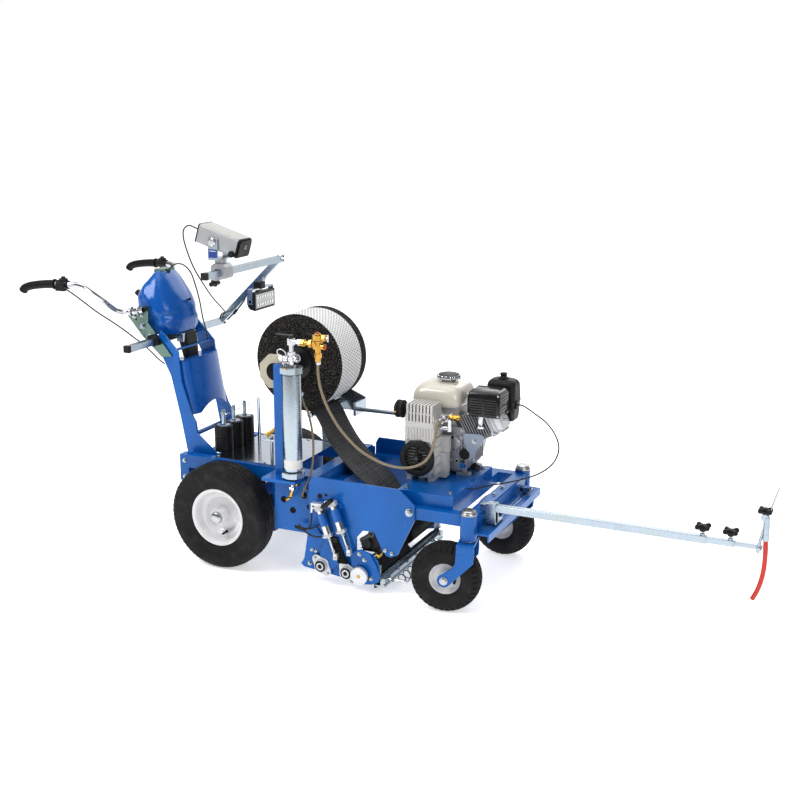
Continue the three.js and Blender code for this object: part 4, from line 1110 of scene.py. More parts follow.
def lamp():
    shell = Piece("work_light_cast", "black_paint")
    y0 = LAMP[1]
    outline = [(-152, 973), (-149, 970), (-149, 905), (-153, 901), (-172, 902), (-181, 911), (-187, 924),
               (-190, 938), (-187, 954), (-181, 966), (-172, 973)]
    shell.prism("xz", outline, y0 - LAMP_HALF + 6, y0 + LAMP_HALF - 6)
    for k in range(14):
        y = y0 - 71.5 + 11 * k
        fin = [(x - 2.5 if x < -160 else x, z) for x, z in outline]
        shell.prism("xz", [(max(-190, x), z) for x, z in fin], y - 1.6, y + 1.6)
    face = [(-156, 900), (-147, 900), (-147, 975), (-156, 975)]
    shell.prism("xz", face, y0 - LAMP_HALF, y0 + LAMP_HALF)
    shell.use("label_white").box(-147.6, -146.2, y0 - 72, y0 + 72, 909, 966)
    lens = [(0, 0), (7.6, 0), (7.0, 2), (3.4, 2.4), (2.4, 0.8), (0, 0.8)]
    bezel = [(7.2, 0), (8.6, 0), (8.2, 2.6), (7.4, 2.6)]
    for material, x, profile, closed in (("led", -146.6, lens, False), ("chrome", -146.8, bezel, True)):
        shell.use(material)
        for row in (923, 952):
            for k in range(7):
                shell.lathe(profile, (x, y0 - 60 + 20 * k, row), AHEAD, 20, closed=closed)
    shell.use("black_plastic").box(-182, -156, y0 - 20, y0 + 20, 968, 975)
    shell.done("work_light", 1.2, 30, "work_light", "black_paint")
    mount = Piece("work_light_mount", "black_plastic")
    mount.box(-186, -150, y0 - 24, y0 + 10, 984, 1012)
    for sign in (-1, 1):
        mount.rod((-168, y0 + sign * 80, 938), (-168, y0 + sign * 86, 938), 8, 6)
    mount.use("steel").rod((-160, 316, 1016), (-145, 316, 1032), 5, 12)
    mount.done("chassis", 1.4, 30, slot="black_plastic")
    route = [(-190, 318, 950), (-206, 312, 962), (-222, 308, 958), (-236, 314, 944), (-246, 319.2, 926),
             (-262, 319.6, 906), (-286, 319.6, 880), (-330, 319.6, 838)]
    free_cord("work_light_lead", smooth_path(route, 8), 3, ("work_light", route[5], route[0]))
    plug = Piece("work_light_plug", "black_plastic")
    plug.rod((-282, 318, 884), (-298, 318, 866), 6, 16)
    plug.done("chassis", 0.5, 30, slot="black_plastic")


# ---------------------------------------------------------------- tape roll and web

ROLL = (218, 779)
ROLL_RADIUS = 184.5
ROLL_NEAR, ROLL_FAR = -50, 160
BAND_START = 116


def tape_roll():
    jitter = random.Random(11)
    roll = Piece("tape_roll_wound", "tape_side")
    for start, end, faces_out in ((ROLL_NEAR, ROLL_NEAR + 3, -1), (ROLL_FAR - 3, ROLL_FAR, 1)):
        outer = end if faces_out > 0 else start
        inner = start if faces_out > 0 else end
        profile = [(38.2, inner), (38.2, outer)]
        radius = 42
        while radius < ROLL_RADIUS - 3:
            profile.append((radius, outer))
            radius += 3.6
        profile += [(ROLL_RADIUS - 1.5, outer), (ROLL_RADIUS, (outer + inner) / 2),
                    (ROLL_RADIUS - 1.0, inner)]

        def rough(angle, size, distance, outer=outer, sign=faces_out):
            if distance != outer or size < 40:
                return size, distance
            return size - jitter.uniform(0, 1.2), distance - sign * jitter.uniform(0, 2.6)

        roll.lathe(profile, (ROLL[0], 0, ROLL[1]), FAR, 220, rough, True)
    roll.lathe([(38.2, BAND_START), (ROLL_RADIUS - 0.4, BAND_START), (ROLL_RADIUS - 0.4, ROLL_FAR - 3),
                (38.2, ROLL_FAR - 3)], (ROLL[0], 0, ROLL[1]), FAR, 220, closed=True)
    roll.use("tape_tread")
    roll.lathe([(38.2, ROLL_NEAR + 3), (ROLL_RADIUS - 0.6, ROLL_NEAR + 3),
                (ROLL_RADIUS - 0.2, ROLL_NEAR + 5), (ROLL_RADIUS - 0.2, BAND_START), (38.2, BAND_START)],
               (ROLL[0], 0, ROLL[1]), FAR, 220, closed=True)
    roll.done("tape_roll", 0, 40, "tape_roll", "tape")
    finish_node("roll_spindle", "black_paint", 0.6)
    # near-black discs in the spindle's hollow ends: painted shade
    plug = Piece("spindle_end_shade", "painted_shade")
    for y in (-222, 206):
        plug.rod((ROLL[0], y - 4, ROLL[1]), (ROLL[0], y + 4, ROLL[1]), 25, 40)
    plug.rod((ROLL[0], -237.4, ROLL[1]), (ROLL[0], -236.2, ROLL[1]), 33, 48)
    plug.done("tape_roll", 0, 30, slot="black_plastic")
    finish_node("near_roll_block", "block_cream", 2.5)
    finish_node("far_roll_post", "zinc", 0.8)


WEB_LINE = [(212, 590.5), (258, 589.5), (280, 582), (297, 560), (325, 510), (373, 440), (444, 371),
            (512, 318), (556, 262), (574, 205)]
WEB_PANELS = 4


def tape_web():
    """The tape from the roll to the laying head, with fine cross ribs in lengthwise panels."""
    line = smooth_path([(x, 0, z) for x, z in WEB_LINE], 1)
    line = smooth_path(line, 40)
    low, high = ROLL_NEAR + 2, ROLL_FAR - 2
    panel = (high - low) / WEB_PANELS
    columns = []
    for p in range(WEB_PANELS):
        start = low + p * panel
        columns += [(start, 0.0), (start + 2.5, 0.0), (start + 3.5, 1.0), (start + panel - 3.5, 1.0),
                    (start + panel - 2.5, 0.0)]
    columns.append((high, 0.0))
    travelled = 0.0
    above, below = [], []
    for i, place in enumerate(line):
        ahead = line[min(i + 1, len(line) - 1)] - line[max(i - 1, 0)]
        out = Vector((ahead.z, 0, -ahead.x)).normalized() * -1
        if i:
            travelled += (place - line[i - 1]).length
        rib = 2.4 * max(0.0, math.sin(2 * math.pi * travelled / 10))
        above.append([place + out * (0.6 + rib * full) + Vector((0, y, 0)) for y, full in columns])
        below.append([place - out * 1.2 + Vector((0, y, 0)) for y, full in columns])
    web = Piece("tape_web_ribbed", "web").sheet(above, below)
    web.done("chassis", 0, 30, "tape_web", "tape")
    # a thin black rod in the wedge where the tape leaves the roll: painted shade in the nip
    nip_shade = Piece("web_nip_shade", "black_plastic")
    nip_shade.rod((238, -50, 592.8), (238, 150, 592.8), 1.4, 10)
    nip_shade.done("chassis", 0, 30, slot="black_plastic")


# ---------------------------------------------------------------- primer cylinder

PRIMER = (320, -288)


def primer():
    x, y = PRIMER
    body = Piece("primer_cylinder_tube", "zinc")
    tube = [(0, 430), (33, 430), (34, 434), (34, 788), (33, 792), (0, 792)]
    body.lathe(tube, (x, y, 0), UP, 72)
    for z0, z1 in ((405, 424), (797, 818)):
        body.rod((x, y, z0), (x, y, z1), 44, 8)
        body.rod((x, y, z0 - 2), (x, y, z0), 38, 40)
        body.rod((x, y, z1), (x, y, z1 + 2), 38, 40)
    body.use("label_white")
    body.lathe([(34.1, 440), (34.4, 440), (34.4, 474), (34.1, 474)], (x, y, 0), UP, 72, closed=True)
    body.done("chassis", 1.2, 35, "primer_cylinder", "zinc", 3)

    top = Piece("primer_top_fittings", "chrome")
    top.stack(x, y, ((818, 826, 16, 6), (826, 900, 8.5, 24), (862, 874, 14, 6), (898, 923, 14.5, 6)))
    top.rod((x + 8, y, 911), (x + 40, y, 911), 9, 24)
    top.rod((x + 28, y, 911), (x + 42, y, 911), 12.5, 6)
    top.lathe([(8, -8), (15, -5), (17, 0), (15, 5), (8, 8)], (x + 22, y - 2, 852), (0.9, -0.3, 0.3), 24,
              closed=True)
    top.rod((x + 10, y, 846), (x + 30, y - 4, 858), 7, 16)
    top.rod((x - 26, y, 818), (x - 26, y, 842), 7, 20)
    top.rod((x - 26, y, 826), (x - 26, y, 834), 11, 6)
    top.rod((x - 50, y, 846), (x + 8, y, 846), 8, 20)
    top.rod((x - 46, y, 846), (x - 34, y, 846), 12, 6)
    top.rod((x - 30, y, 846), (x - 12, y, 846), 12.5, 24)
    top.tube(smooth_path([(x - 20, y, 852), (x - 20, y - 6, 868), (x - 34, y - 8, 880), (x - 52, y - 6, 878),
                          (x - 56, y, 862), (x - 40, y + 4, 852)], 8), 2.6, 10)
    top.tube(smooth_path([(x - 16, y, 852), (x - 8, y - 2, 870), (x - 4, y, 884)], 6), 3.2, 10)
    top.use("brass").rod((x - 4, y - 40, 819.5), (x - 4, y - 40, 822), 7, 20)
    top.done("chassis", 0.6, 35, slot="zinc")

    rx = 428
    gauge = Piece("primer_regulator", "brass")
    gauge.rod((rx - 66, y, 911), (rx - 14, y, 911), 8.5, 24)
    for start, end, size in ((-66, -52, 14), (-34, -22, 15.5)):
        gauge.rod((rx + start, y, 911), (rx + end, y, 911), size, 6)
    gauge.stack(rx, y, ((848, 950, 11, 28), (862, 878, 14.5, 6), (894, 924, 18.5, 8), (926, 944, 20, 28)))
    gauge.rod((rx - 18, y, 935), (rx + 34, y, 935), 10, 24)
    gauge.rod((rx + 20, y, 935), (rx + 31, y, 935), 13, 6)
    gauge.rod((rx, y, 905), (rx + 30, y - 4, 903), 11, 24)
    gauge.rod((rx - 4, y - 12, 915), (rx - 4, y - 26, 915), 8, 20)
    gauge.use("red_tube").rod((rx + 29, y - 4, 903), (rx + 33, y - 4.5, 902.6), 7, 20)
    gauge.rod((rx, y, 949), (rx, y, 954), 6, 20)
    gauge.use("chrome").rod((rx + 34, y, 935), (rx + 42, y, 935), 6, 20)
    gauge.rod((rx + 40, y, 922), (rx + 40, y, 948), 3.5, 12)
    gauge.stack(rx, y, ((836, 849, 8, 20), (838, 846, 10.5, 6)))
    gauge.use("braid").rod((rx, y, 834.5), (rx, y, 838), 6.5, 20)
    gauge.done("chassis", 0.7, 35, slot="zinc")
    finish_node("primer_lever", "black_paint", 1.0)

    drain = Piece("primer_drain_fittings", "brass")
    drain.rod((x, y, 404), (x, y, 386), 9, 20)
    drain.rod((x - 4, y - 2, 384), (x - 4, y - 2, 372), 12, 6)
    drain.rod((x - 30, y + 6, 378), (x + 22, y - 4, 378), 8, 20)
    drain.use("chrome").rod((x - 44, y + 8, 378), (x - 24, y + 4, 378), 11, 6)
    drain.rod((x - 4, y - 2, 372), (x - 4, y - 2, 350), 7, 20)
    drain.rod((x - 14, y - 2, 360), (x + 6, y - 2, 360), 9.5, 6)
    drain.use("brass").rod((x - 4, y - 2, 350), (x - 12, y - 4, 326), 6.5, 16)
    drain.rod((x - 14, y - 4, 322), (x - 30, y - 4, 312), 6, 6)
    drain.done("chassis", 0.6, 35, slot="zinc")

    clip = Piece("drain_hose_clip", "zinc")
    clip.rod((x, y + 30, 706), (330, -236, 706), 6, 16)
    clip.rod((330, -236, 714), (330, -236, 700.3), 7, 6)
    clip.done("chassis", 0.5, 35, slot="zinc")
    tray_valve()


def tray_valve():
    """The quick-release valve by the cylinder: a yellow grip, and a rod with a yellow tip."""
    valve = Piece("tray_valve", "zinc")
    valve.rod((150, -150, 400), (150, -150, 504), 6, 16)
    valve.box(120, 180, -170, -130, 486, 494)
    valve.use("yellow").tube([(132, -158, 506), (150, -150, 520), (176, -140, 542)], 9, 16,
                             radii=[10, 7, 9.5])
    valve.use("black_plastic").rod((197, -195, 388), (197, -195, 505), 4, 16)
    valve.use("yellow").rod((197, -195, 502), (197, -195, 524), 6.5, 16)
    valve.use("steel").rod((197, -195, 384), (197, -195, 392), 9, 6)
    valve.done("chassis", 0.8, 35, slot="zinc")


# ---------------------------------------------------------------- ballast weights

def weights():
    for name, y in (("near", -79), ("middle", -3), ("far", 79)):
        place = (-110, y, 0)
        mass = Piece(f"{name}_weight_turned", "iron")
        for z0, z1 in ((400.3, 449.6), (450.4, 499)):
            mass.lathe([(0, z0), (35.5, z0), (37, z0 + 1.8), (37, z1 - 1.8), (35.5, z1), (0, z1)], place,
                       UP, 64)
        mass.use("zinc")
        mass.lathe([(0, 499), (26, 499), (26, 501), (24, 502), (0, 502)], place, UP, 48)
        mass.lathe([(0, 500), (9, 500), (9, 507), (7.5, 509), (7.5, 557), (6, 562), (0, 562)], place, UP, 32)
        mass.use("chrome").rod((-124, y, 546), (-96, y, 546), 1.8, 10)
        ring = []
        for k in range(25):
            angle = 2 * math.pi * k / 24
            ring.append((-95 + 12 * math.cos(angle), y + 12 * math.sin(angle) * 0.94,
                         546 + 5 * math.cos(angle)))
        mass.tube(ring, 1.4, 8)
        mass.done("chassis", 0.3, 35, f"{name}_weight", "weight_iron")


# ---------------------------------------------------------------- engine

CYLINDER = (880, 572)
CYLINDER_LEAN = math.radians(28)


def on_cylinder(along, across):
    """A point (x, z) measured along the leaning cylinder and square to it."""
    c, s = math.cos(CYLINDER_LEAN), math.sin(CYLINDER_LEAN)
    return (CYLINDER[0] + along * c - across * s, CYLINDER[1] + along * s + across * c)


def on_cylinder_box(piece, a0, a1, b0, b1, y0, y1):
    piece.prism("xz", [on_cylinder(a0, b0), on_cylinder(a1, b0), on_cylinder(a1, b1), on_cylinder(a0, b1)],
                y0, y1)


def crankcase():
    case = Piece("engine_crankcase", "cast_alloy")
    side = [(712, 425), (740, 408), (852, 408), (888, 424), (900, 452), (912, 500), (905, 560), (872, 590),
            (716, 590), (704, 560), (702, 460)]
    case.prism("xz", side, 10, 150)
    case.prism("xz", [(x * 0.92 + 64, z * 0.92 + 40) for x, z in side], 2, 12)
    case.rod((750, 14, 488), (750, -40, 488), 62, 48)
    case.lathe([(0, 0), (66, 0), (70, 6), (66, 12), (0, 12)], (750, -8, 488), NEAR, 64)
    for k in range(6):
        angle = math.radians(60 * k + 15)
        case.rod((750 + 62 * math.cos(angle), -6, 488 + 62 * math.sin(angle)),
                 (750 + 62 * math.cos(angle), -30, 488 + 62 * math.sin(angle)), 7, 16)
    for x0, x1 in ((722, 762), (850, 900)):
        for y0, y1 in ((0, 30), (112, 142)):
            case.box(x0, x1, y0, y1, 399.3, 412)
    for x, y in ((742, 15), (875, 15), (742, 127), (875, 127)):
        case.box(x - 8, x + 8, y - 8, y + 8, 405, 450)
    for k in range(5):
        case.box(898, 914, 20 + 22 * k, 24 + 22 * k, 450, 540)
    case.box(820, 880, -2, 6, 420, 470)
    case.lathe([(0, 0), (24, 0), (26, 5), (20, 10), (0, 12)], (842, 2, 520), NEAR, 40)
    case.box(760, 800, -6, 20, 560, 600)
    for k in range(6):
        x = 822 + 13 * k
        case.prism("xz", [(x, 470), (x + 4, 470), (x - 4, 548), (x - 8, 548)], -6, 4)
    for k in range(4):
        z = 478 + 18 * k
        case.prism("xz", [(826, z), (900, z + 7), (900, z + 10), (826, z + 3)], -3, 4)
    for x, z, size in ((826, 452, 9), (856, 458, 11), (890, 470, 8), (836, 545, 12), (872, 548, 9),
                       (812, 500, 8)):
        case.lathe([(0, 0), (size, 0), (size - 1.5, 12), (0, 12)], (x, 2, z), NEAR, 24)
    # near-black discs in the bosses: painted shade in their holes
    case.use("painted_shade")
    for x, z, size in ((856, 458, 5), (836, 545, 6), (890, 470, 4)):
        case.rod((x, -10, z), (x, -10.6, z), size, 20)
    case.use("steel")
    for x, z in ((820, 430), (882, 440), (895, 500), (868, 575), (800, 585), (722, 430)):
        case.bolt((x, 2, z), NEAR, 12)
    case.use("chrome").rod((870, 6, 452), (880, -14, 448), 12, 20)
    case.rod((880, -12, 448), (884, -22, 446), 14, 6)
    case.use("black_plastic").rod((902, 40, 430), (924, 30, 424), 13, 20)
    case.rod((886, -4, 486), (886, -14, 486), 20, 24)
    case.use("black_paint")
    case.lathe([(0, 0), (84, 0), (88, 5), (86, 14), (70, 26), (30, 33), (0, 34)], (752, 150, 488), FAR, 64)
    case.use("dark_alloy")
    for k in range(12):
        angle = math.radians(30 * k)
        case.rod((752 + 30 * math.cos(angle), 181, 488 + 30 * math.sin(angle)),
                 (752 + 66 * math.cos(angle), 173, 488 + 66 * math.sin(angle)), 2.2, 8)
    case.use("black_plastic").box(812, 850, 150, 166, 556, 572)
    case.use("housing_alloy").box(716, 852, 12, 150, 588, 652)
    case.done("chassis", 2.2, 30, "engine_block", "alloy", 3)


def cylinder():
    head = Piece("engine_cylinder", "dark_alloy")
    on_cylinder_box(head, -20, 104, -42, 42, 6, 82)
    head.use("cast_alloy")
    for k in range(10):
        place = 2 + 9.6 * k
        on_cylinder_box(head, place, place + 3, -57, 57, -6, 88)
    on_cylinder_box(head, 98, 112, -60, 58, -8, 90)
    head.use("bright_alloy")
    on_cylinder_box(head, 111, 119, -48, 48, -6, 88)
    head.use("panel_metal")
    head.prism("xz", [(882, 566), (946, 569), (957, 565), (961, 556), (958, 545), (934, 512), (921, 480),
                      (914, 472), (905, 474), (899, 484), (880, 550), (878, 560)], -12, -4)
    head.use("steel").bolt((924, -12, 540), NEAR, 15)
    for along, across in ((105, 48), (105, -48)):
        px, pz = on_cylinder(along, across)
        head.bolt((px, -8, pz), NEAR, 13)
    for across in (-36, 36):
        px, pz = on_cylinder(119, across)
        head.bolt((px, 10, pz), (math.cos(CYLINDER_LEAN), 0, math.sin(CYLINDER_LEAN)), 11)
    head.use("chrome").tube(smooth_path([(944, -2, 598), (944, -8, 616), (946, -6, 646)], 6), 13, 24)
    head.rod((944, -2, 600), (944, -2, 592), 19, 28)
    head.use("black_plastic").tube(smooth_path([(1000, 40, 650), (1020, 56, 660), (1034, 70, 640),
                                                (1030, 86, 610)], 8), 4, 12)
    head.use("steel").tube(smooth_path([(880, 94, 650), (930, 100, 640), (990, 100, 648), (1038, 112, 661)],
                                       6), 2.5, 8)
    head.use("black_plastic").box(1018, 1042, 108, 130, 648, 676)
    head.use("dark_alloy").box(930, 1000, 88, 150, 560, 600)
    head.done("chassis", 1.4, 30, (), "alloy")
    cover = Piece("valve_cover", "bright_alloy")
    on_cylinder_box(cover, 119, 126, -54, 46, -8, 84)
    on_cylinder_box(cover, 122, 148, -50, 42, -4, 80)
    cover.done("chassis", 7, 30, (), "alloy", 4)
    ribs = Piece("valve_cover_ribs", "bright_alloy")
    for across in (-30, -8, 14):
        on_cylinder_box(ribs, 146, 150, across, across + 9, 8, 68)
    for across, y in ((-48, 2), (-48, 72), (38, 2), (38, 72)):
        px, pz = on_cylinder(126, across)
        ribs.bolt((px, y, pz), (math.cos(CYLINDER_LEAN), 0, math.sin(CYLINDER_LEAN)), 10)
    ribs.done("chassis", 1.2, 30, (), "alloy")


def rounded_ring(x0, x1, y0, y1, z, corner, steps=8):
    ring = []
    for cx, cy, start in ((x1 - corner, y1 - corner, 0), (x0 + corner, y1 - corner, 90),
                          (x0 + corner, y0 + corner, 180), (x1 - corner, y0 + corner, 270)):
        for k in range(steps + 1):
            angle = math.radians(start + 90 * k / steps)
            ring.append((cx + corner * math.cos(angle), cy + corner * math.sin(angle), z))
    return ring


def fuel_tank():
    tank = Piece("fuel_tank_pressed", "cream")
    rings = []
    for z, inset, corner in ((656, 14, 26), (660, 5, 32), (668, 1, 34), (676, 0, 34), (684, 0, 34),
                             (692, 0.6, 34), (702, 2.4, 35), (712, 5.4, 36), (720, 9, 36), (727, 14, 36),
                             (733, 21, 34), (738, 31, 30), (741.5, 44, 24), (743.5, 62, 14)):
        rings.append(rounded_ring(678 + inset, 870 - inset, -39 + inset, 160 - inset, z, corner))
    tank.rings(rings)
    tank.rings([rounded_ring(679, 869, -38.6, 159.6, z, 34) for z in (672.5, 674.5)])
    tank.use("steel").lathe([(16.4, 736), (27, 738), (28, 748), (26, 752), (16.4, 752)], (791, 60, 0), UP,
                            48, closed=True)
    # a small amber disc that glows faintly: painted glow
    tank.use("amber_painted_glow").rod((834, 20, 741), (834, 20, 744), 4, 12)
    tank.done("chassis", 0, 50, "fuel_tank", "cream_paint", subdivide=1)
    cap = Piece("fuel_cap_pressed", "chrome")
    cap.lathe([(0, -20), (15.5, -20), (15.5, 0), (43, 0), (45.5, 2), (45.5, 10), (43.5, 13), (0, 13)],
              (791, 60, 752.3), UP, 120, scallops)
    cap.use("dark_alloy").lathe([(0, 12), (38, 12), (37, 14.5), (33, 16.4), (0, 17)], (791, 60, 752.3), UP,
                                60)
    cap.done("fuel_cap", 0.3, 35, "fuel_cap", "zinc")


def scallops(angle, radius, distance):
    if radius < 25:
        return radius, distance
    return radius - 4 * max(0.0, math.cos(angle * 9)) ** 2, distance


def muffler_guard():
    guard = Piece("muffler_guard_pressed", "black_gloss")
    rings = []
    for z, inset, corner in ((640, 3, 8), (643, 0, 9), (716, 0, 9), (726, 3, 10), (732, 8, 11),
                             (735, 14, 11)):
        rings.append(rounded_ring(898 + inset, 1024 - inset, -30 + inset, 80 - inset, z, corner))
    guard.rings(rings)
    for column in (910, 964):
        for k in range(6):
            z = 656 + 9.4 * k
            louvre = [(column, z), (column + 48, z), (column + 48, z + 3), (column, z + 3)]
            low = [(x, -32 if i < 2 else -30.2, zz) for i, (x, zz) in enumerate(louvre)]
            high = [(x, -29, zz + 2) for x, zz in louvre]
            guard.rings([low, high])
    # near-black boxes behind the louvres, slots along the top and dots in the end: painted shade in the
    # openings
    guard.use("painted_shade")
    for column in (910, 964):
        for k in range(6):
            z = 651.6 + 9.4 * k
            guard.box(column + 1, column + 47, -30.3, -29, z, z + 3.6)
    for k in range(12):
        x = 910 + 8.6 * k
        guard.prism("xz", [(x, 735.3), (x + 4, 735.3), (x + 4, 731), (x, 731)], -14, 2)
        guard.prism("xz", [(x, 735.3), (x + 4, 735.3), (x + 4, 731), (x, 731)], 46, 62)
    for row in range(6):
        for column in range(7):
            y = -20 + 13.5 * column + (6 if row % 2 else 0)
            if y < 70:
                guard.rod((1023.6, y, 656 + 11 * row), (1024.4, y, 656 + 11 * row), 4, 6)
    guard.use("black_gloss").box(899, 1023, -30.6, -29, 644, 648)
    guard.use("steel")
    for x, z in ((903, 724), (1018, 724), (903, 648), (1018, 648)):
        guard.bolt((x, -30, z), NEAR, 6)
    guard.done("chassis", 0.9, 30, "muffler_guard", "black_paint")


def air_cleaner():
    cleaner = Piece("air_cleaner_moulded", "black_plastic")
    rings = []
    for z, inset, corner in ((597, 8, 14), (600, 5, 15), (668, 2, 16), (669, 0, 16), (676, 0, 16),
                             (677, 1.4, 16),
                             (730, 2.6, 17), (740, 5, 18), (748, 11, 18), (753, 20, 16), (755, 32, 12)):
        rings.append(rounded_ring(922 + inset, 1038 - inset, 91 + inset, 180 - inset, z, corner))
    cleaner.rings(rings)
    cleaner.lathe([(0, 0), (22, 0), (22, 3), (12, 5), (11, 9), (12, 12), (14, 15), (14, 19), (11, 21),
                   (0, 21)], (980, 134, 754), UP, 64, wing)
    cleaner.box(930, 936, 86, 92, 600, 740)
    cleaner.done("chassis", 0, 45, "air_cleaner", "black_plastic", subdivide=1)


def wing(angle, radius, distance):
    return (radius * (1 - 0.16 * max(0.0, math.cos(angle * 4))) if distance > 8 and radius > 5 else radius,
            distance)


# ---------------------------------------------------------------- compressor

def compressor():
    house = Piece("compressor_housing_cast", "housing_alloy")
    lower = [(702, 414), (806, 414), (812, 470), (812, 560), (696, 560), (697, 470)]
    house.prism("xz", lower, -122, -44)
    house.prism("xz", [(698, 560), (811, 560), (811, 640), (806, 657), (703, 657), (698, 640)], -128, -46)
    ribs = 8
    for k in range(ribs):
        x = 701 + 107 * k / ribs
        house.box(x + 2, x + 10.5, -129.6, -46, 650, 688)
        house.box(x + 2, x + 10.5, -131.4, -126, 622, 655)
    for k in range(9):
        x = 702 + 104 * k / 9
        house.box(x + 2.5, x + 9, -130.6, -126, 560, 604)
    house.box(699, 810, -130.8, -126, 602, 624)
    house.box(699, 810, -130.8, -126, 552, 562)
    for k in range(6):
        z = 430 + 36 * k
        house.box(811, 816, -118, -52, z, z + 26)
        house.box(692.5, 698, -118, -52, z, z + 26)
    for x0, x1 in ((702, 722), (786, 806)):
        house.box(x0, x1, -120, -50, 399.3, 420)
    house.box(780, 836, -70, -30, 405, 500)
    house.box(806, 842, -62, -36, 500, 560)
    # near-black slots between the ribs: painted shade in the vents
    house.use("painted_shade")
    for k in range(7):
        x = 713.6 + 13.4 * k
        house.box(x - 1, x + 1.6, -129.2, -127.6, 624, 650)
    house.use("steel")
    for x, z in ((708, 552), (804, 552), (808, 426), (704, 426)):
        house.bolt((x, -130.8 if z > 500 else -122, z), NEAR, 9)
    house.bolt((762, -124, 556), NEAR, 13)
    house.done("chassis", 1.6, 30, "compressor_housing", "alloy")

    guard = Piece("fan_guard", "black_plastic")
    y = -129
    guard.lathe([(46, -6), (61, -6), (66, 0), (67, 6), (66, 15), (62, 19), (52, 19.6), (46, 17)],
                (750, y, 488), NEAR, 96, closed=True)
    for k in range(9):
        z = -44 + 11 * k
        half = math.sqrt(49 ** 2 - z ** 2)
        guard.prism("xz", [(750 - half, 488 + z - 2.6), (750 + half, 488 + z - 2.6),
                           (750 + half, 488 + z + 1.6), (750 - half, 488 + z + 1.6)], y - 16, y - 6)
    guard.box(746, 754, y - 17, y - 7, 440, 536)
    guard.use("dark_alloy").lathe([(0, 0), (9, 0), (8, 3), (0, 4.4)], (750, y - 16, 488), NEAR, 32)
    guard.done("chassis", 0.9, 30, slot="black_plastic")
    finish_node("compressor_fan", "black_plastic", 0.6)

    intake = Piece("intake_filter", "black_plastic")
    profile = [(0, 0), (24, 0), (27, 3), (33, 6), (33, 15), (29, 17), (29, 21), (33, 23), (33, 32), (28, 36),
               (16, 39), (14, 54), (0, 54)]
    intake.lathe(profile, (645, -90, 655), AHEAD, 64)
    intake.use("chrome").rod((644.6, -90, 655), (646.6, -90, 655), 8, 6)
    # a small amber disc that glows faintly: painted glow
    intake.use("amber_painted_glow").rod((655, -122, 650), (655, -124, 650), 4, 12)
    intake.done("chassis", 0.5, 30, slot="black_plastic")

    outlet = Piece("compressor_outlet", "chrome")
    outlet.rod((808, -90, 600), (856, -90, 600), 9, 24)
    outlet.rod((856, -90, 590), (856, -90, 652), 8.5, 24)
    outlet.rod((856, -78, 648), (856, -150, 648), 8.5, 24)
    outlet.rod((856, -118, 648), (856, -134, 648), 13, 6)
    outlet.rod((856, -150, 648), (856, -178, 648), 7, 20)
    outlet.rod((856, -162, 648), (856, -172, 648), 10.5, 6)
    outlet.rod((838, -104, 648), (856, -104, 648), 8, 20)
    outlet.rod((830, -104, 648), (842, -104, 648), 11, 6)
    outlet.use("brass").rod((864, -104, 648), (902, -104, 648), 9.5, 24)
    for start, end, size in ((868, 876, 12.5), (882, 892, 12), (897, 903, 10.5)):
        outlet.rod((start, -104, 648), (end, -104, 648), size, 6 if size > 11 else 20)
    outlet.use("braid").rod((856, -177, 648), (856, -191, 648), 6.6, 20)
    outlet.done("chassis", 0.5, 35, slot="zinc")


# ---------------------------------------------------------------- laying head

STROKE = Vector((0.346, 0, -0.938)).normalized()
HEAD_Y = -312
CUTTER_TOP, PRESS_TOP = (434, 319), (489, 344)
PLATE_Y = -290.4


def along_stroke(top, distance, y=HEAD_Y):
    return Vector((top[0] + STROKE.x * distance, y, top[1] + STROKE.z * distance))


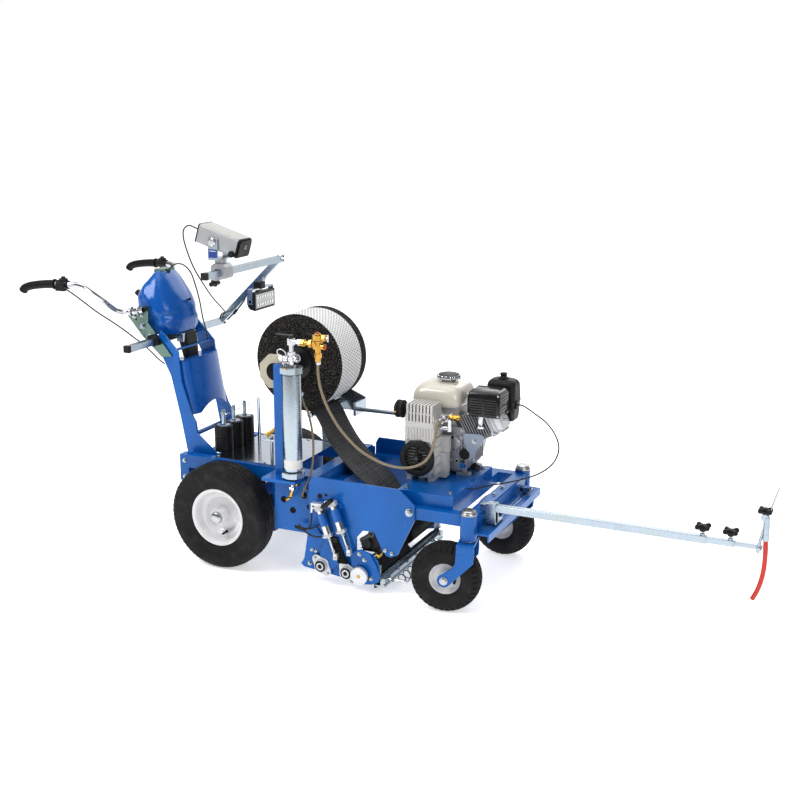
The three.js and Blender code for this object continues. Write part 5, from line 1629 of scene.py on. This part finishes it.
def head_carriage():
    head = Piece("head_plates", "blue")
    head.prism("xz", [(396, 300), (420, 330), (520, 330), (526, 316), (500, 300), (548, 150), (540, 120),
                      (470, 60), (440, 62), (428, 72), (424, 100), (470, 232), (448, 290)], -300, PLATE_Y)
    head.prism("xz", [(560, 152), (600, 166), (634, 156), (660, 116), (676, 70), (668, 48), (640, 36),
                      (596, 30), (560, 40)], -297, PLATE_Y)
    head.prism("xz", [(404, 225), (416, 225), (560, 66), (552, 56)], -296, PLATE_Y)
    head.done("chassis", 1.4, 35, "head_carriage", "blue_paint")

    metal = Piece("head_cylinders", "chrome")
    for top in (CUTTER_TOP, PRESS_TOP):
        metal.use("bright_alloy").tube([along_stroke(top, 4), along_stroke(top, 22)], 18.5, 6)
        metal.use("chrome").tube([along_stroke(top, 22), along_stroke(top, 34)], 13.5, 32)
        metal.use("cylinder_blue").tube([along_stroke(top, 34), along_stroke(top, 80)], 17, 32)
        metal.use("chrome").tube([along_stroke(top, 80), along_stroke(top, 118)], 16.2, 32)
        metal.use("bright_alloy").tube([along_stroke(top, 112), along_stroke(top, 126)], 18.5, 6)
        metal.use("chrome").tube([along_stroke(top, 24, -296), along_stroke(top, 118, -296)], 3.6, 12)
        elbow = along_stroke(top, 12)
        metal.rod(elbow, elbow + Vector((-26, -6, 4)), 6, 16)
        metal.rod(elbow + Vector((-16, -4, 2)), elbow + Vector((-24, -6, 4)), 9, 6)
        metal.rod(elbow + Vector((-26, -6, 8)), elbow + Vector((-28, -6, -20)), 5.4, 16)
        low = along_stroke(top, 122)
        metal.rod(low, low + Vector((-22, -6, -3)), 5.4, 16)
        metal.rod(low + Vector((-14, -4, -2)), low + Vector((-20, -6, -3)), 8, 6)
    metal.use("bright_alloy")
    x, z = CUTTER_TOP
    metal.box(x - 26, x + 24, -322, -300, z - 8, z + 6)
    metal.use("black_plastic").tube([(462, -330, 320), (500, -332, 352)], 8.5, 16)
    metal.rod((455, -326, 316), (463, -330, 321), 5, 12)
    metal.box(478, 510, -310, -296, 180, 200)
    # a near-black sheet behind the rubber strips: painted shade between them
    metal.use("painted_shade").prism("xz", [(470, 196), (508, 196), (548, 108), (512, 100)], -306, -299)
    metal.use("rubber")
    for k in range(7):
        share = k / 6
        x, z = 474 + 38 * share, 188 - 80 * share
        metal.prism("xz", [(x, z), (x + 36, z), (x + 37, z - 4), (x + 1, z - 4)], -309, -300)
    metal.done("chassis", 0.7, 30, slot="zinc")

    cutter, press = along_stroke(CUTTER_TOP, 12), along_stroke(PRESS_TOP, 12)
    low = along_stroke(CUTTER_TOP, 122)
    routes = {
        "cutter_air_line": (cutter, [(-28, -6, -20), (-30, -6, -50), (-42, -2, -82), (-72, 8, -100),
                                     (-112, 18, -98)]),
        "press_air_line": (press, [(-28, -6, -20), (-28, -6, -54), (-54, -4, -90), (-94, 2, -112),
                                   (-138, 10, -118),
                                   (-168, 18, -116)]),
        "return_air_line": (low, [(-22, -6, -3), (-52, -6, -9), (-92, 2, -3), (-134, 16, 19)]),
    }
    for name, (start, steps) in routes.items():
        free_cord(name, smooth_path([start + Vector(step) for step in steps], 8), 3)

    bearings = Piece("head_bearings", "bright_alloy")
    for x, z, lean in ((440, 80, 0), (545, 70, 15)):
        points = []
        for k in range(40):
            angle = 2 * math.pi * k / 40
            stretch = abs(math.cos(angle + math.radians(45 + lean)))
            size = 29 + 19 * stretch ** 6 + 4 * abs(math.sin(angle + math.radians(45 + lean))) ** 8
            points.append((x + size * math.cos(angle), z + size * math.sin(angle)))
        bearings.use("bright_alloy").prism("xz", points, -303, -298)
        bearings.lathe([(9, 0), (25, 0), (25, 6), (22.5, 12), (9, 12)], (x, -302, z), NEAR, 48, closed=True)
        bearings.use("rubber").lathe([(14, 11), (22, 11), (21, 13), (14, 13)], (x, -302, z), NEAR, 48,
                                     closed=True)
        bearings.use("steel").lathe([(8, 12), (15.5, 12), (15, 15.5), (8, 15.5)], (x, -302, z), NEAR, 40,
                                    closed=True)
        bearings.use("rubber").rod((x, -302, z), (x, -315, z), 9, 6)
        for sign in (-1, 1):
            angle = math.radians(135 - lean)
            bearings.use("steel").bolt((x + sign * 38 * math.cos(angle), -303,
                                        z + sign * 38 * math.sin(angle)), NEAR, 9)
    bearings.use("steel")
    for x, z in ((594, 148), (614, 128), (640, 60), (384, 75)):
        bearings.bolt((x, -297 if x > 400 else -290, z), NEAR, 12)
    bearings.done("chassis", 0.6, 30, slot="zinc")


def head_rods():
    for node, top in (("cutter_rod", CUTTER_TOP), ("press_rod", PRESS_TOP)):
        rod = Piece(f"{node}_turned", "chrome")
        rod.tube([along_stroke(top, 62), along_stroke(top, 206)], 5.8, 24)
        rod.use("steel")
        rod.tube([along_stroke(top, 132), along_stroke(top, 138)], 9, 6)
        rod.tube([along_stroke(top, 176), along_stroke(top, 184)], 8.5, 6)
        end = along_stroke(top, 206)
        rod.use("bright_alloy").box(end.x - 8, end.x + 8, -322, -304.5, end.z - 8, end.z + 16)
        rod.use("steel").rod((end.x, -324, end.z), (end.x, -321, end.z), 5, 20)
        rod.done(node, 1.2, 30, node, "zinc")
    wheel = Piece("edge_wheel_turned", "bright_alloy")
    wheel.lathe([(7, -322), (31, -322), (33.4, -320.6), (34, -318), (34, -309), (33, -307), (12, -306.4),
                 (12, -290.7), (0, -290.7), (0, -318), (7, -318)], (601, 0, 71), FAR, 96, closed=True)
    wheel.use("brass").rod((601, -321.5, 71), (601, -317, 71), 6.6, 6)
    wheel.done("edge_wheel", 0, 30, "edge_wheel", "zinc")


def feed_roller():
    roller = Piece("feed_roller_moulded", "rubber")
    profile = [(8, 45), (38, 45), (40, 47)]
    for k in range(21):
        y = 52 + 10 * k
        profile += [(40, y), (37.5, y + 1.5), (37.5, y + 3), (40, y + 4.5)]
    profile += [(40, 266), (38, 268), (8, 268)]
    roller.lathe(profile, (617, 0, 110), FAR, 72, closed=True)
    roller.use("steel").rod((617, -281.5, 110), (617, 281.5, 110), 8, 32)
    for y in (-40, 20):
        roller.use("steel").rod((617, y, 110), (617, y + 14, 110), 16, 32)
    roller.done("feed_roller", 0, 30, "feed_roller", "rubber_tyre")


def side_window():
    gear = Piece("window_mechanism", "black_plastic")
    gear.prism("xz", [(585, 160), (640, 230), (652, 226), (668, 190), (640, 158), (604, 164)], -270, -262)
    gear.box(590, 660, -262, -230, 150, 176)
    gear.rod((612, -281, 186), (612, -262, 186), 20, 32)
    gear.use("dark_alloy").tube([(600, -274, 200), (632, -274, 224)], 8, 16)
    gear.rod((632, -280, 224), (632, -264, 224), 13, 28)
    gear.rod((596, -280, 196), (596, -266, 196), 10, 24)
    # a near-black disc in the pin's end: painted shade in its hole
    gear.use("painted_shade").rod((632, -281.5, 224), (632, -279, 224), 5.5, 20)
    gear.use("brass").box(650, 664, -280, -250, 136, 150)
    gear.done("chassis", 1.0, 30, slot="black_plastic")


def laying_beam():
    beam = Piece("laying_beam_extrusion", "zinc")
    x0, x1, z0, z1 = 649, 689, 27, 60
    section = [(x0, z0), (x1, z0), (x1, z0 + 8), (x1 - 5, z0 + 10), (x1 - 5, z0 + 14), (x1, z0 + 16),
               (x1, z1), (x0 + 24, z1), (x0 + 22, z1 - 5), (x0 + 17, z1 - 5), (x0 + 15, z1), (x0, z1)]
    beam.prism("xz", section, -281.6, 281.6)
    for y0, y1 in ((-281.6, -274), (274, 281.6)):
        beam.box(x0, 671, y0, y1, z0 + 5, 110)
    beam.use("rubber").box(x0 - 9, x0 - 1, -270, 270, 14, z1 - 6)
    beam.prism("xz", [(598, 112), (606, 117), (656, 66), (648, 58)], -272, 30)
    beam.use("chrome")
    for y0, y1 in ((-258, -244.3), (180.3, 194)):
        beam.rod((x1 - 4, (y0 + y1) / 2, 50), (752, (y0 + y1) / 2, 50), 7, 16)
        beam.rod((755, y0, 50), (755, y1, 50), 9, 6)
        beam.rod((706, y0, 50), (714, y0, 50), 10, 6)
    for k in range(7):
        y = -240 + 80 * k
        beam.use("steel").bolt((x1, y, z0 + 30), AHEAD, 9)
    beam.done("chassis", 0.8, 30, "laying_beam", "zinc")


# ---------------------------------------------------------------- pointer arm

ARM_Y, ARM_Z = -195, 365


def arm_tube(piece, x0, x1, width, wall):
    """A square tube along the arm, hollow at its front end."""
    outside, inside = width / 2, width / 2 - wall
    piece.rings([[(x, ARM_Y + a * half, ARM_Z + b * half) for a,
                  b in ((-1, -1), (1, -1), (1, 1), (-1, 1))] for x,
                 half in ((x0, outside), (x1, outside), (x1, inside), (x1 - 30, inside))])


def arm_knob(piece, x, half):
    """A black wing knob on a screw, standing on the tube."""
    top = ARM_Z + half
    piece.use("zinc").rod((x, ARM_Y, top - 1), (x, ARM_Y, top + 7), 9, 6)
    piece.rod((x, ARM_Y, top + 6), (x, ARM_Y, top + 22), 4, 16)
    piece.use("black_plastic")
    piece.lathe([(0, 14), (10, 14), (12, 20), (12, 30), (9, 37), (0, 39)], (x, ARM_Y, top), UP, 32)
    piece.arms((x, ARM_Y, top), 27, 28, 31, 45, 16, [9.5, 8])


def pointer_arm():
    half = 12.5
    outer = Piece("arm_outer_tube", "zinc")
    arm_tube(outer, 1023, 1809, 25, 2.2)
    outer.box(1047, 1083, ARM_Y - half - 5, ARM_Y - half, 303.4, ARM_Z + half + 5)
    outer.box(1047, 1083, ARM_Y + half, ARM_Y + half + 5, 303.4, ARM_Z + half + 5)
    outer.box(1047, 1083, ARM_Y - half, ARM_Y + half, ARM_Z + half, ARM_Z + half + 4.6)
    outer.box(1047, 1083, ARM_Y - half - 5, ARM_Y + 70, 303.6, 309)
    arm_knob(outer, 1796, half)
    outer.use("zinc").rod((1064, -150, 309), (1064, -150, 322), 5, 16)
    outer.use("black_plastic").lathe([(0, 0), (11, 0), (13, 5), (13, 13), (9, 18), (0, 19)],
                                     (1064, -150, 317), UP, 32)
    outer.arms((1064, -150, 0), 19, 327, 328, 20, 16, [8, 6])
    outer.done("arm_outer", 1.2, 30, "arm_outer", "zinc")

    middle_tube = Piece("arm_middle_tube", "zinc")
    arm_tube(middle_tube, 1330, 1901, 20, 2)
    arm_knob(middle_tube, 1886, 10)
    middle_tube.done("arm_middle", 0.9, 30, "arm_middle", "zinc")

    inner = Piece("arm_inner_bar", "zinc")
    inner.box(1440, 1988, ARM_Y - 7, ARM_Y + 7, ARM_Z - 7, ARM_Z + 7)
    inner.done("arm_inner", 0.9, 30, "arm_inner", "zinc")

    y = ARM_Y - 16
    marker = Piece("arm_marker_rod", "zinc")
    marker.rod((1979, y + 6.6, ARM_Z), (1979, y - 3, ARM_Z), 9, 28)
    marker.rod((1979, y - 3, ARM_Z), (1979, y - 10, ARM_Z), 8, 6)
    line = smooth_path([(1975, y, 352), (1982, y, 400), (2000, y, 478), (2027, y, 579)], 8)
    marker.tube(line, 5, 16, radii=[5.6 - 3.2 * i / (len(line) - 1) for i in range(len(line))])
    marker.tube([(1996, y, 474), (1998, y, 396)], 10.5, 24)
    marker.rod((1990, y - 9, 474), (1990, y + 9, 474), 12, 28)
    marker.use("red_tube")
    marker.tube(smooth_path([(1998, y, 400), (2000, y, 350), (1999, y, 300), (1993, y, 256), (1983, y, 220),
                             (1970, y, 190)], 10), 7.8, 20)
    marker.use("black_plastic").lathe([(0, 10), (9, 10), (12, 15), (12, 25), (9, 31), (0, 33)],
                                      (1990, y, 474), UP, 32)
    marker.arms((1990, y, 0), 24, 494, 497, 45, 16, [9.5, 8])
    marker.done("arm_marker", 0.5, 30, "arm_marker", "zinc")


# ---------------------------------------------------------------- the machine

make_materials()
camera_and_light()
cords()
coil_hose()
frames()
for name in SIDES:
    rear_tyre(name)
    rear_rim(name)
    caster_wheel(name)
    caster_fork(name)
    handlebar(name)
bumper_fittings()
frame_bolts()
grommets()
column_cover()
cowl()
handle_plates()
laser()
light_bar()
lamp()
tape_roll()
tape_web()
primer()
weights()
crankcase()
cylinder()
fuel_tank()
muffler_guard()
air_cleaner()
compressor()
head_carriage()
head_rods()
feed_roller()
side_window()
laying_beam()
pointer_arm()
